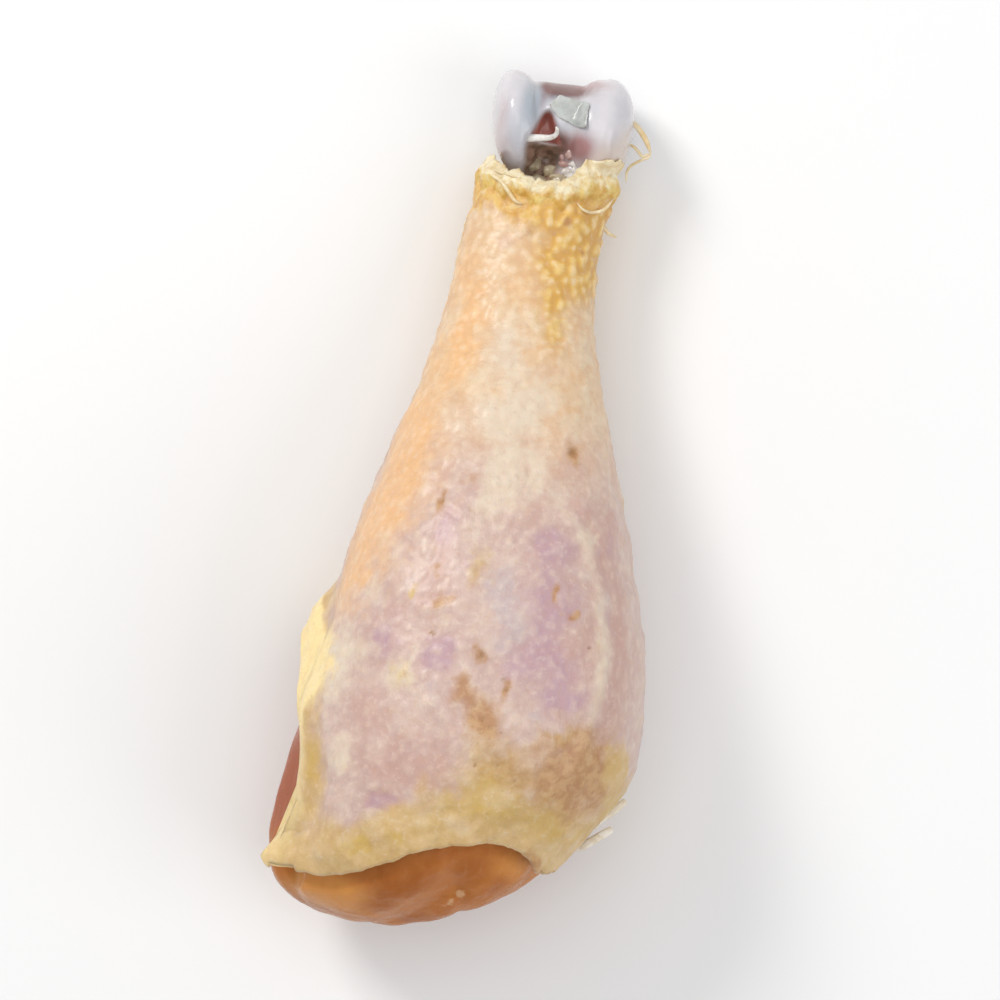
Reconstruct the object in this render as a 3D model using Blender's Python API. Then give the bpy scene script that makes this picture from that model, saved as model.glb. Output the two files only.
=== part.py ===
"""Raw chicken drumstick, lying on its side with the ankle knuckle towards +Y.

The pieces are the real tissues: the skin, cut open at both ends; the meat that it wraps; the shin
bone, which runs through the meat and ends in the bare knuckle; and two scraps of joint tissue that
lie in the knuckle's groove. The origin is on the surface that the leg rests on, under the middle of
its bounding box, with +Z up. Sizes are in metres.

Places along the leg are given as reach: the distance from the top of the knuckle towards the fat
end, so a reach grows as y falls. Angles go round the leg: 0 is +X, 90 the top and 180 is -X.
"""

import math

import bmesh
import bpy
from mathutils import Euler, Vector

LEG_TOP = 0.0642  # y of the knuckle's top, where reach is 0
SKIN_THICKNESS = 0.0016
CLEARANCE = 0.0005  # left between tissues that touch
MERGE_DISTANCE = 1e-6

# The outer form of the leg, skin included: reach, then left and right sides and underside and top.
# The underside goes below zero where the soft belly settles flat on the surface.
SECTIONS = (
    (0.0140, (-0.0106, 0.0093, 0.0006, 0.0166)),  # cut edge at the ankle, flared round the knuckle
    (0.0180, (-0.0113, 0.0087, 0.0011, 0.0168)),
    (0.0250, (-0.0122, 0.0077, 0.0018, 0.0176)),  # narrowest, across the tendons
    (0.0340, (-0.0127, 0.0083, 0.0022, 0.0202)),
    (0.0460, (-0.0143, 0.0114, 0.0017, 0.0256)),
    (0.0580, (-0.0173, 0.0158, 0.0004, 0.0318)),  # the calf muscle begins
    (0.0700, (-0.0201, 0.0197, -0.0010, 0.0374)),
    (0.0820, (-0.0220, 0.0239, -0.0019, 0.0412)),
    (0.0940, (-0.0234, 0.0255, -0.0022, 0.0430)),  # fullest
    (0.1020, (-0.0245, 0.0252, -0.0020, 0.0428)),
    (0.1080, (-0.0254, 0.0214, -0.0014, 0.0414)),
    (0.1120, (-0.0257, 0.0188, -0.0008, 0.0400)),  # the rounded end begins
)
CAP_START = 0.1120
CAP_LENGTH = 0.0188
CAP_TIP = Vector((-0.0110, 0.0170))  # x and z of the furthest point of the rounded end
CAP_DRIFT = 1.5  # how late the sections slide over to the tip
CAP_ROUNDNESS = 0.475
SECTION_SQUARENESS = 0.91  # 1 gives ellipses, less gives fuller corners

# Cut edges of the skin, as angle in degrees and reach. The hem dips to a flap at the right, arches
# over the meat, comes to a point at the upper left, and climbs where the meat lies bare below.
HEM = (
    (-90, 0.1110),
    (-45, 0.1086),
    (-12, 0.1076),
    (6, 0.1096),
    (21, 0.1148),
    (34, 0.1176),
    (42, 0.1154),
    (51, 0.1132),
    (68, 0.1128),
    (84, 0.1142),
    (97, 0.1178),
    (111, 0.1210),
    (128, 0.1218),
    (145, 0.1213),
    (159, 0.1212),
    (165, 0.1100),
    (171, 0.0995),
    (179, 0.0925),
    (188, 0.0872),
    (201, 0.0850),
    (220, 0.0862),
    (240, 0.0930),
    (256, 0.1040),
)
COLLAR = (
    (0, 0.0160),
    (30, 0.0161),
    (60, 0.0170),
    (90, 0.0178),
    (135, 0.0171),
    (180, 0.0163),
    (270, 0.0160),
)
# How far the hem stands off the meat, by angle, and how far up the skin that reaches.
FLARE = (
    (-90, 0.0002),
    (20, 0.0005),
    (34, 0.0010),
    (90, 0.0002),
    (145, 0.0008),
    (160, 0.0034),
    (167, 0.0004),
    (173, 0.0010),
    (181, 0.0026),
    (192, 0.0032),
    (206, 0.0024),
    (230, 0.0008),
)
FLARE_WIDTH = 0.009
FLARE_CURL = 1.5  # how sharply the skin turns outwards there

MEAT_INSET = SKIN_THICKNESS + CLEARANCE
# How far the meat swells out again where no skin holds it, by angle, and where beyond the hem.
SWELL = (
    (-90, 0.0010),
    (-30, 0.0002),
    (20, 0),
    (55, 0.0004),
    (95, 0.0014),
    (180, 0.0018),
    (240, 0.0014),
)
SWELL_START, SWELL_FULL = 0.0008, 0.0045
# Seams between the muscles at the fat end: angle in degrees, depth, and width in degrees.
MUSCLE_SEAMS = ((62, 0.0022, 11), (158, 0.0012, 9), (248, 0.0026, 13), (335, 0.0022, 12))
SEAM_START, SEAM_FULL = 0.104, 0.124
TIP_SMOOTHING = 0.012  # half size below which seams and swelling fade away towards the tip

AROUND = 40
CROWDING = 21.5  # degrees by which columns are drawn towards the left side, where the hem is steep
SKIN_ROWS = 24
MEAT_BEGINS = 0.45  # row of the skin at the ankle where the meat begins
END_ROWS = 9  # rows of the meat beyond the hem
HEM_SAMPLES = 120

KNUCKLE_CENTRE = Vector((0.0002, LEG_TOP - 0.0074, 0.0078))
BONE_TILT = Euler((math.radians(-5.6), 0, math.radians(-1.2)))
# Half width and half depth of the bone, by distance from the knuckle's centre.
BONE_PROFILE = (
    (0.0000, (0.0050, 0.0042)),
    (0.0070, (0.0058, 0.0046)),
    (0.0110, (0.0046, 0.0042)),
    (0.0170, (0.0037, 0.0034)),
    (0.0300, (0.0032, 0.0030)),
    (0.0780, (0.0034, 0.0032)),
    (0.0920, (0.0052, 0.0048)),
    (0.1000, (0.0070, 0.0062)),
    (0.1040, (0.0060, 0.0054)),
)
BONE_ROWS = 22
BONE_AROUND = 20
# The wheels of the ankle joint: place across the bone, radius, width, turn in degrees, and place
# along the bone and in depth.
CONDYLES = {
    "condyle_right": (0.0058, 0.0076, 0.0074, -4, -0.0003, 0.0001),
    "condyle_left": (-0.0066, 0.0072, 0.0057, 14, -0.0007, 0),
    "saddle": (-0.0006, 0.0064, 0.0090, 4, -0.0002, -0.0008),
}
CONDYLE_BEVEL = 0.0022
CONDYLE_SEGMENTS = 28
HOLLOW_CENTRE = Vector((-0.0018, -0.0056, 0.0056))  # from the knuckle's centre
HOLLOW_HALF = Vector((0.0022, 0.0044, 0.0032))

PAD_CENTRE = Vector((-0.0003, 0.0012, 0.0066))  # from the knuckle's centre
PAD_HALF = Vector((0.0024, 0.0017, 0.0008))
PAD_TURN = Euler((math.radians(-6), math.radians(4), math.radians(-20)))
PAD_LOBES, PAD_RAGGEDNESS = 3, 0.14
TENDON_RADIUS = 0.0006
# The tendon scrap, from the knuckle's centre: out of the left condyle's side, then hooked up.
TENDON_ROUTE = (
    (-0.0042, -0.0037, 0.0066),
    (-0.0027, -0.0035, 0.0067),
    (-0.0013, -0.0032, 0.0068),
    (-0.0008, -0.0025, 0.0071),
    (-0.0009, -0.0017, 0.0078),
)

COLOURS = {  # base colour, roughness
    "skin": ((0.80, 0.55, 0.38), 0.42),
    "meat": ((0.46, 0.19, 0.10), 0.32),
    "bone": ((0.68, 0.64, 0.68), 0.25),
    "joint_tissue": ((0.62, 0.60, 0.52), 0.38),
}


def clear_scene():
    for obj in list(bpy.data.objects):
        bpy.data.objects.remove(obj, do_unlink=True)


def tissue(name):
    """The Principled material of one tissue."""
    found = bpy.data.materials.get(name)
    if found:
        return found
    colour, roughness = COLOURS[name]
    made = bpy.data.materials.new(name)
    made.use_nodes = True
    shader = made.node_tree.nodes["Principled BSDF"]
    shader.inputs["Base Color"].default_value = (*colour, 1)
    shader.inputs["Roughness"].default_value = roughness
    shader.inputs["Metallic"].default_value = 0
    made.diffuse_color = (*colour, 1)
    return made


def smooth_value(knots, at):
    """The value at a position, on a smooth curve through (position, value) knots."""
    last = len(knots) - 1
    if at <= knots[0][0]:
        return knots[0][1]
    if at >= knots[last][0]:
        return knots[last][1]
    i = max(k for k in range(last) if knots[k][0] <= at)
    (p0, v0), (p1, v1) = knots[i], knots[i + 1]
    before, after = knots[max(i - 1, 0)], knots[min(i + 2, last)]
    span = p1 - p0
    slope0 = (v1 - before[1]) * (span / (p1 - before[0]))
    slope1 = (after[1] - v0) * (span / (after[0] - p0))
    t = (at - p0) / span
    return (
        v0 * (2 * t**3 - 3 * t**2 + 1)
        + slope0 * (t**3 - 2 * t**2 + t)
        + v1 * (3 * t**2 - 2 * t**3)
        + slope1 * (t**3 - t**2)
    )


def smooth_loop(knots, degrees):
    """The same on a closed loop of (angle in degrees, value) knots."""
    turned = [(a + 360 * k, v) for k in (-1, 0, 1) for a, v in knots]
    return smooth_value(turned, (degrees + 90) % 360 - 90)


def smooth_step(low, high, at):
    t = min(max((at - low) / (high - low), 0), 1)
    return t * t * (3 - 2 * t)


SECTION_KNOTS = [(reach, Vector(sides)) for reach, sides in SECTIONS]
BONE_KNOTS = [(reach, Vector(half)) for reach, half in BONE_PROFILE]


def section_at(reach):
    """Centre and half size, each as (x, z), of the leg's section at a reach."""
    left, right, under, top = smooth_value(SECTION_KNOTS, min(reach, CAP_START))
    centre = Vector(((left + right) / 2, (under + top) / 2))
    half = Vector(((right - left) / 2, (top - under) / 2))
    if reach > CAP_START:
        rise = min((reach - CAP_START) / CAP_LENGTH, 1)
        centre = centre.lerp(CAP_TIP, rise**CAP_DRIFT)
        half *= (1 - rise * rise) ** CAP_ROUNDNESS
    return centre, half


def leg_point(reach, degrees, outwards=0.0):
    """A point of the leg's outer form, moved outwards in the plane of its section."""
    centre, half = section_at(reach)
    c, s = math.cos(math.radians(degrees)), math.sin(math.radians(degrees))
    x = centre.x + half.x * math.copysign(abs(c) ** SECTION_SQUARENESS, c) + outwards * c
    z = centre.y + half.y * math.copysign(abs(s) ** SECTION_SQUARENESS, s) + outwards * s
    return Vector((x, LEG_TOP - reach, max(z, 0)))


def hem_distance(reach, degrees):
    """How far a point of the skin is from the hem, over the skin."""
    girth = sum(section_at(reach)[1]) / 2
    nearest = 1.0
    for k in range(HEM_SAMPLES):
        angle = 360 * k / HEM_SAMPLES
        apart = (angle - degrees + 180) % 360 - 180
        round_the_leg = math.radians(apart) * girth
        nearest = min(nearest, math.hypot(round_the_leg, smooth_loop(HEM, angle) - reach))
    return nearest


def angle_of(turn):
    """The angle of a column, crowded towards 180 degrees."""
    return 360 * turn + CROWDING * math.sin(2 * math.pi * turn)


def skin_point(turn, run):
    degrees = angle_of(turn)
    hem, collar = smooth_loop(HEM, degrees), smooth_loop(COLLAR, degrees)
    reach = collar + (hem - collar) * run
    near_hem = max(0, 1 - hem_distance(reach, degrees) / FLARE_WIDTH)
    return leg_point(reach, degrees, smooth_loop(FLARE, degrees) * near_hem**FLARE_CURL)


def meat_point(turn, run):
    """The leg's form from near the ankle to its rounded end, with seams between the muscles.

    Under the skin its rows are the skin's own rows, so the two surfaces stay parallel.
    """
    degrees = angle_of(turn)
    row = max(run * (SKIN_ROWS + END_ROWS), MEAT_BEGINS)
    hem, collar = smooth_loop(HEM, degrees), smooth_loop(COLLAR, degrees)
    if row < SKIN_ROWS:
        reach = collar + (hem - collar) * row / SKIN_ROWS
    else:
        beyond = math.sin(math.pi / 2 * (row - SKIN_ROWS) / END_ROWS)
        reach = hem + (CAP_START + CAP_LENGTH - hem) * beyond
    seam = 0
    for angle, depth, width in MUSCLE_SEAMS:
        apart = (degrees - angle + 180) % 360 - 180
        seam += depth * math.exp(-((apart / width) ** 2))
    tapering = min(1, min(section_at(reach)[1]) / TIP_SMOOTHING)
    seam *= smooth_step(SEAM_START, SEAM_FULL, reach) * tapering
    swell = smooth_loop(SWELL, degrees) * smooth_step(SWELL_START, SWELL_FULL, reach - hem) * tapering
    return leg_point(reach, degrees, swell - seam)


def bone_point(turn, run):
    """The bone's shaft in its own frame: it runs along -Y from the knuckle's centre."""
    length = BONE_PROFILE[-1][0]
    half = smooth_value(BONE_KNOTS, length * run)
    angle = 2 * math.pi * turn
    return Vector((half.x * math.cos(angle), -length * run, half.y * math.sin(angle)))


def rolled_grid(around, rows, place):
    """A tube made from a grid: place(turn, run) says where each of its points goes, each 0 to 1."""
    mesh = bmesh.new()
    bmesh.ops.create_grid(mesh, x_segments=around, y_segments=rows, size=0.5)
    for vert in mesh.verts:
        vert.co = place(vert.co.x + 0.5, vert.co.y + 0.5)
    bmesh.ops.remove_doubles(mesh, verts=mesh.verts, dist=MERGE_DISTANCE)
    bmesh.ops.recalc_face_normals(mesh, faces=mesh.faces)
    return mesh


def close_ends(mesh):
    open_edges = [edge for edge in mesh.edges if edge.is_boundary]
    if open_edges:
        bmesh.ops.holes_fill(mesh, edges=open_edges)
    bmesh.ops.recalc_face_normals(mesh, faces=mesh.faces)


def inset(mesh, depth):
    """Moves every point inwards along its normal."""
    mesh.normal_update()
    moved = [(vert, vert.co - vert.normal * depth) for vert in mesh.verts]
    for vert, place in moved:
        vert.co = place


def add_object(name, mesh, material=None, helper=False):
    data = bpy.data.meshes.new(name)
    mesh.to_mesh(data)
    mesh.free()
    data.shade_smooth()
    obj = bpy.data.objects.new(name, data)
    bpy.context.scene.collection.objects.link(obj)
    if material:
        data.materials.append(tissue(material))
    if helper:
        obj.hide_render = True
        obj.display_type = "WIRE"
    return obj


def add_boolean(obj, other, operation):
    modifier = obj.modifiers.new(f"{operation.title()} {other.name}", "BOOLEAN")
    modifier.operation = operation
    modifier.solver = "EXACT"
    modifier.object = other


def build_skin():
    mesh = rolled_grid(AROUND, SKIN_ROWS, skin_point)
    skin = add_object("skin", mesh, "skin")
    wall = skin.modifiers.new("Skin thickness", "SOLIDIFY")
    wall.thickness = SKIN_THICKNESS
    wall.offset = -1
    wall.use_even_offset = True
    wall.use_rim = True
    return skin


def build_meat():
    mesh = rolled_grid(AROUND, SKIN_ROWS + END_ROWS, meat_point)
    inset(mesh, MEAT_INSET)
    close_ends(mesh)
    return add_object("meat", mesh, "meat")


def bone_shaft(clearance=0.0):
    mesh = rolled_grid(BONE_AROUND, BONE_ROWS, bone_point)
    close_ends(mesh)
    inset(mesh, -clearance)
    return mesh


def stand_on_bone(obj):
    """Gives an object made in the bone's own frame its place in the leg."""
    obj.location = KNUCKLE_CENTRE
    obj.rotation_euler = BONE_TILT


def wheel(name, across, radius, width, turn, along, depth):
    """One wheel of the ankle joint, lying across the bone, with rounded rims."""
    mesh = bmesh.new()
    bmesh.ops.create_cone(
        mesh, cap_ends=True, segments=CONDYLE_SEGMENTS, radius1=radius, radius2=radius, depth=width
    )
    rims = [edge for edge in mesh.edges if len({round(v.co.z, 6) for v in edge.verts}) == 1]
    bmesh.ops.bevel(
        mesh, geom=rims, offset=CONDYLE_BEVEL, segments=3, profile=0.5, affect="EDGES", material=-1
    )
    lie_across = Euler((0, math.pi / 2, math.radians(turn))).to_matrix()
    bmesh.ops.transform(mesh, matrix=lie_across, verts=mesh.verts)
    bmesh.ops.translate(mesh, vec=Vector((across, along, depth)), verts=mesh.verts)
    made = add_object(name, mesh, helper=True)
    stand_on_bone(made)
    return made


def ellipsoid(centre, half):
    mesh = bmesh.new()
    bmesh.ops.create_icosphere(mesh, subdivisions=2, radius=1)
    bmesh.ops.scale(mesh, vec=half, verts=mesh.verts)
    bmesh.ops.translate(mesh, vec=centre, verts=mesh.verts)
    return mesh


def build_bone(meat):
    """The shin bone with its knuckle, and the channel that it lies in through the meat."""
    bone = add_object("bone", bone_shaft(), "bone")
    stand_on_bone(bone)
    for name, sizes in CONDYLES.items():
        add_boolean(bone, wheel(name, *sizes), "UNION")
    hollow = add_object("joint_hollow", ellipsoid(HOLLOW_CENTRE, HOLLOW_HALF), helper=True)
    stand_on_bone(hollow)
    add_boolean(bone, hollow, "DIFFERENCE")
    channel = add_object("bone_channel", bone_shaft(CLEARANCE), helper=True)
    stand_on_bone(channel)
    add_boolean(meat, channel, "DIFFERENCE")
    return bone


def build_cartilage_pad():
    """A torn scrap of cartilage, lying across the groove of the knuckle."""
    mesh = ellipsoid(Vector(), PAD_HALF)
    for vert in mesh.verts:
        ragged = 1 + PAD_RAGGEDNESS * math.sin(PAD_LOBES * math.atan2(vert.co.y, vert.co.x))
        vert.co.x *= ragged
        vert.co.y *= ragged
    pad = add_object("cartilage_pad", mesh, "joint_tissue")
    pad.location = KNUCKLE_CENTRE + PAD_CENTRE
    pad.rotation_euler = PAD_TURN


def build_tendon():
    """The cut end of a tendon, hooked up at its tip."""
    curve = bpy.data.curves.new("tendon", "CURVE")
    curve.dimensions = "3D"
    curve.bevel_depth = TENDON_RADIUS
    curve.bevel_resolution = 2
    curve.use_fill_caps = True
    curve.materials.append(tissue("joint_tissue"))
    line = curve.splines.new("POLY")
    line.points.add(len(TENDON_ROUTE) - 1)
    for point, place in zip(line.points, TENDON_ROUTE):
        point.co = (*place, 1)
    tendon = bpy.data.objects.new("tendon", curve)
    tendon.location = KNUCKLE_CENTRE
    bpy.context.scene.collection.objects.link(tendon)


def lowest_and_highest(objects):
    graph = bpy.context.evaluated_depsgraph_get()
    places = []
    for obj in objects:
        solid = obj.evaluated_get(graph)
        places += [solid.matrix_world @ vert.co for vert in solid.data.vertices]
    low = Vector(min(place[axis] for place in places) for axis in range(3))
    high = Vector(max(place[axis] for place in places) for axis in range(3))
    return low, high


def centre_on_origin(largest):
    """Hangs every piece on one empty and puts the middle of the box's base at the origin."""
    bpy.context.view_layer.update()
    low, high = lowest_and_highest(largest)
    leg = bpy.data.objects.new("drumstick", None)
    for obj in bpy.context.scene.collection.objects:
        obj.parent = leg
    bpy.context.scene.collection.objects.link(leg)
    leg.location = (-(low.x + high.x) / 2, -(low.y + high.y) / 2, -low.z)


def main():
    clear_scene()
    skin = build_skin()
    meat = build_meat()
    bone = build_bone(meat)
    build_cartilage_pad()
    build_tendon()
    centre_on_origin([skin, meat, bone])


main()
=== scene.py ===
import math
from types import SimpleNamespace

import bmesh
import bpy
import numpy as np
from mathutils import Matrix, Vector, kdtree, noise
from mathutils.bvhtree import BVHTree


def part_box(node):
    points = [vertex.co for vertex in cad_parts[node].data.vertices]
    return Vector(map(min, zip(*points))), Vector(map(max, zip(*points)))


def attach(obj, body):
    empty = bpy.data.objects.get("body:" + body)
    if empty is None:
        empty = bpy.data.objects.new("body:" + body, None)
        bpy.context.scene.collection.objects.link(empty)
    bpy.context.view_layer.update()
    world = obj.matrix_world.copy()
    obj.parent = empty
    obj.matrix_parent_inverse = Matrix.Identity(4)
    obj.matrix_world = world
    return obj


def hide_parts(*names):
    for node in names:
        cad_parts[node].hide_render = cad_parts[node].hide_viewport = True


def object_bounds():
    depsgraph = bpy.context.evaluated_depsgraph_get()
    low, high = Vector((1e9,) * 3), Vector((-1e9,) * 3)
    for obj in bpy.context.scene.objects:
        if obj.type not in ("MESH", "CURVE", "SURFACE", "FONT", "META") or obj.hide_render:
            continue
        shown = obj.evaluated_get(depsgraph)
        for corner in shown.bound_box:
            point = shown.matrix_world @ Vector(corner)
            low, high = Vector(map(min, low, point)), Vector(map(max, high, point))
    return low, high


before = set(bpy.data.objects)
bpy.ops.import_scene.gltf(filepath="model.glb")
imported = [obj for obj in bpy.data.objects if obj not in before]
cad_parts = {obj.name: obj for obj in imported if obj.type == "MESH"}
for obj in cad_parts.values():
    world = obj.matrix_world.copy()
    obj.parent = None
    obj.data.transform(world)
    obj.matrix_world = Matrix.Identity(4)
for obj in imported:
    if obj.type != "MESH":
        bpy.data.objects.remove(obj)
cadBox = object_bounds()
mm = 0.001
mergeDistance = 1e-7
castReach = 0.08  # how far off the rays start, well outside the leg
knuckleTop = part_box("bone")[1].y  # reach is measured from here towards the fat end, in mm
print("frame loaded")


class Wire:
    # one output socket, whose sums add Math nodes
    def __init__(self, finish, socket):
        self.finish = finish
        self.socket = socket

    def sum(self, operation, first, second):
        return self.finish.node("ShaderNodeMath", {"operation": operation}, {0: first, 1: second})

    def __add__(self, other):
        return self.sum("ADD", self, other)

    def __radd__(self, other):
        return self.sum("ADD", other, self)

    def __sub__(self, other):
        return self.sum("SUBTRACT", self, other)

    def __rsub__(self, other):
        return self.sum("SUBTRACT", other, self)

    def __mul__(self, other):
        return self.sum("MULTIPLY", self, other)

    def __rmul__(self, other):
        return self.sum("MULTIPLY", other, self)


class Finish:
    # one material, built node by node
    def __init__(self, name):
        self.material = bpy.data.materials.new(name)
        self.material.use_nodes = True
        self.tree = self.material.node_tree
        self.shader = self.tree.nodes["Principled BSDF"]
        self.place = self.node("ShaderNodeTexCoord", out="Object")
        self.tone = None

    def fill(self, node, sockets):
        for key, value in sockets.items():
            if isinstance(value, Wire):
                self.tree.links.new(value.socket, node.inputs[key])
            elif isinstance(value, tuple) and node.inputs[key].type == "RGBA":
                node.inputs[key].default_value = (*value, 1)
            else:
                node.inputs[key].default_value = value

    def node(self, kind, settings=None, sockets=None, out=0):
        made = self.tree.nodes.new(kind)
        for key, value in (settings or {}).items():
            setattr(made, key, value)
        self.fill(made, sockets or {})
        return Wire(self, made.outputs[out])

    def surface(self, **sockets):
        # shader sockets, with _ for the spaces in their names
        self.fill(self.shader, {key.replace("_", " "): value for key, value in sockets.items()})

    def flesh(self, weight, depth, spread):
        # light that scatters inside: how much, how deep in mm, and how far each colour spreads
        self.surface(Subsurface_Weight=weight, Subsurface_Scale=depth * mm, Subsurface_Radius=spread)

    def mask(self, name):
        return self.node("ShaderNodeAttribute", {"attribute_name": name}, out="Fac")

    def grain(self, size, detail=3.0, roughness=0.5, distortion=0.0, at=None):
        # soft noise whose blotches are about size mm across
        return self.node("ShaderNodeTexNoise", {}, {
            "Vector": at or self.place, "Scale": 1 / (size * mm), "Detail": detail,
            "Roughness": roughness, "Distortion": distortion}, "Fac")

    def stretched(self, scale, turn=(0, 0, 0)):
        # the piece's own coordinates, turned and stretched for fibres and creases
        return self.node("ShaderNodeMapping", {}, {
            "Vector": self.place, "Rotation": turn, "Scale": scale}, "Vector")

    def between(self, value, low, high, toLow=0.0, toHigh=1.0):
        return self.node("ShaderNodeMapRange", {"interpolation_type": "SMOOTHSTEP"}, {
            "Value": value, "From Min": low, "From Max": high, "To Min": toLow, "To Max": toHigh})

    def broken(self, name, noise, amount, low, high, most=1.0):
        # a mask whose edge is broken up by noise
        return self.between(self.mask(name) + (noise - 0.5) * amount, low, high, 0.0, most)

    def blend(self, first, second, factor):
        # the Mix node's colour sockets are inputs 6 and 7 and output 2
        return self.node("ShaderNodeMix", {"data_type": "RGBA"}, {0: factor, 6: first, 7: second}, 2)

    def mottled(self, dark, light, noise, low=0.35, high=0.65):
        # one tone in the noise's low places and the other in its high ones
        return self.blend(dark, light, self.between(noise, low, high))

    def tint(self, tone, amount):
        # the colour so far turns to this tone where amount is 1
        self.tone = self.blend(self.tone, tone, amount)

    def bump(self, height, distance, strength=1.0, normal=None):
        sockets = {"Height": height, "Distance": distance * mm, "Strength": strength}
        if normal:
            sockets["Normal"] = normal
        return self.node("ShaderNodeBump", {}, sockets, "Normal")


def smooth(low, high, value):
    t = np.clip((np.asarray(value, float) - low) / (high - low), 0, 1)
    return t * t * (3 - 2 * t)


def bell(value, centre, width):
    return np.exp(-(((value - centre) / width) ** 2))


def lumps(points, size, octaves, stretch=(1, 1, 1), shift=0.0):
    # fractal noise from about -1 to 1, with lumps about size mm across
    scaled = points.reshape(-1, 3) / (size * mm) * np.array(stretch) + shift
    values = [noise.fractal(p, 1.0, 2.0, octaves) for p in scaled.tolist()]
    return np.array(values).reshape(points.shape[:-1])


def ridges(points, size, octaves, stretch, shift):
    # 1 along thin wandering ridge lines and falling to 0 between them
    return 1 - np.clip(np.abs(lumps(points, size, octaves, stretch, shift)) * 3.2, 0, 1)


def turned(points, degrees):
    # points turned about the Z axis
    c = math.cos(math.radians(degrees))
    s = math.sin(math.radians(degrees))
    x = points[..., 0] * c - points[..., 1] * s
    y = points[..., 0] * s + points[..., 1] * c
    return np.stack((x, y, points[..., 2]), axis=-1)


def outwardAt(angle):
    # the direction out of the leg at an angle round it: 0 is right and a quarter turn is up
    return Vector((math.cos(angle), 0, math.sin(angle)))


def circleAt(angles, radius):
    # a circle of points to read noise at, which then joins up round the leg
    return np.stack((np.cos(angles), np.sin(angles), angles * 0), axis=-1) * radius


def unit(vectors):
    return vectors / np.maximum(np.linalg.norm(vectors, axis=-1, keepdims=True), 1e-12)


def meshData(name, mesh):
    data = bpy.data.meshes.new(name)
    mesh.to_mesh(data)
    mesh.free()
    return data


def linked(name, data):
    made = bpy.data.objects.new(name, data)
    bpy.context.scene.collection.objects.link(made)
    return made


def mergedCopy(node):
    mesh = bmesh.new()
    mesh.from_mesh(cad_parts[node].data)
    bmesh.ops.remove_doubles(mesh, verts=mesh.verts, dist=mm * 0.001)
    return mesh


def outerSheet(node, rimAngle):
    # the outer face of a CAD wall, without its rims and inner face
    mesh = mergedCopy(node)
    bmesh.ops.join_triangles(
        mesh, faces=mesh.faces, angle_face_threshold=math.pi, angle_shape_threshold=math.pi)
    highest = max(mesh.faces, key=lambda face: face.calc_center_median().z)
    sheet = {highest}
    queue = [highest]
    while queue:
        for edge in queue.pop().edges:
            if edge.calc_face_angle(math.pi) < rimAngle:
                fresh = [face for face in edge.link_faces if face not in sheet]
                sheet.update(fresh)
                queue += fresh
    bmesh.ops.delete(mesh, geom=[face for face in mesh.faces if face not in sheet], context="FACES")
    return mesh


def evaluated(mesh, name, modifiers):
    # a helper object's mesh after its modifiers: (kind, settings) pairs
    helper = linked(name, meshData(name, mesh))
    for kind, settings in modifiers:
        modifier = helper.modifiers.new(kind, kind)
        for key, value in settings.items():
            setattr(modifier, key, value)
    graph = bpy.context.evaluated_depsgraph_get()
    done = bmesh.new()
    done.from_object(helper, graph)
    bpy.data.objects.remove(helper)
    return done


def castingForm(mesh, levels):
    # the CAD form, smoothed, as a tree to cast rays at
    soft = evaluated(mesh, "form", [("SUBSURF", {"levels": levels, "render_levels": levels})])
    tree = BVHTree.FromBMesh(soft)
    soft.free()
    return tree


def castAt(tree, centre, outward):
    # the first point of the form met from outside, towards its centre
    return tree.ray_cast(centre + outward * castReach, -outward, castReach)[0]


def ringGrid(around, rows, closeRows):
    # a rolled-up grid whose points remember their column and row
    mesh = bmesh.new()
    bmesh.ops.create_grid(mesh, x_segments=around, y_segments=rows, size=0.5)
    cell = mesh.verts.layers.int.new("cell")
    ringRows = rows if closeRows else rows + 1
    for vert in mesh.verts:
        column = round((vert.co.x + 0.5) * around) % around
        row = round((vert.co.y + 0.5) * rows)
        vert[cell] = column * ringRows + (row % ringRows)
    return mesh


def layOn(mesh, points):
    # each vertex of a rolled-up grid goes to its own point
    cell = mesh.verts.layers.int["cell"]
    flat = points.reshape(-1, 3).tolist()
    for vert in mesh.verts:
        vert.co = flat[vert[cell]]
    bmesh.ops.remove_doubles(mesh, verts=mesh.verts, dist=mergeDistance)
    bmesh.ops.recalc_face_normals(mesh, faces=mesh.faces)


def gridNormals(points):
    along = np.roll(points, -1, 0) - np.roll(points, 1, 0)
    return unit(np.cross(along, np.gradient(points, axis=1)))


def evened(values, steps):
    # values smoothed round the leg
    for step in range(steps):
        values = (np.roll(values, 1, 0) + values * 2 + np.roll(values, -1, 0)) / 4
    return values


def facingOut(normals, row):
    # turned over where those on top of the leg point down
    return -normals if normals[len(normals) // 4, row, 2] < 0 else normals


def addPiece(name, mesh, finish, masks=None, nodes=()):
    # masks are values for each point of the grid, kept as attributes for the finish to read
    data = meshData(name, mesh)
    if masks:
        cells = np.zeros(len(data.vertices), np.int32)
        data.attributes["cell"].data.foreach_get("value", cells)
        for key, values in masks.items():
            layer = data.attributes.new(key, "FLOAT", "POINT")
            values = np.clip(values, 0, 1).reshape(-1)[cells]
            layer.data.foreach_set("value", values.astype(np.float32))
    if "cell" in data.attributes:
        data.attributes.remove(data.attributes["cell"])
    data.shade_smooth()
    data.materials.append(finish.material)
    piece = linked(name, data)
    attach(piece, "root")
    if nodes:
        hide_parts(*nodes)
    return piece


def placed(x, reach, z):
    # a place on the leg: x and z in mm, and reach
    return Vector((x * mm, knuckleTop - reach * mm, z * mm))


def placesOf(points):
    # across, reach and height of each point, in mm
    return points[..., 0] / mm, (knuckleTop - points[..., 1]) / mm, points[..., 2] / mm


def treeOf(piece):
    mesh = bmesh.new()
    mesh.from_mesh(piece.data)
    tree = BVHTree.FromBMesh(mesh)
    mesh.free()
    return tree


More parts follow.
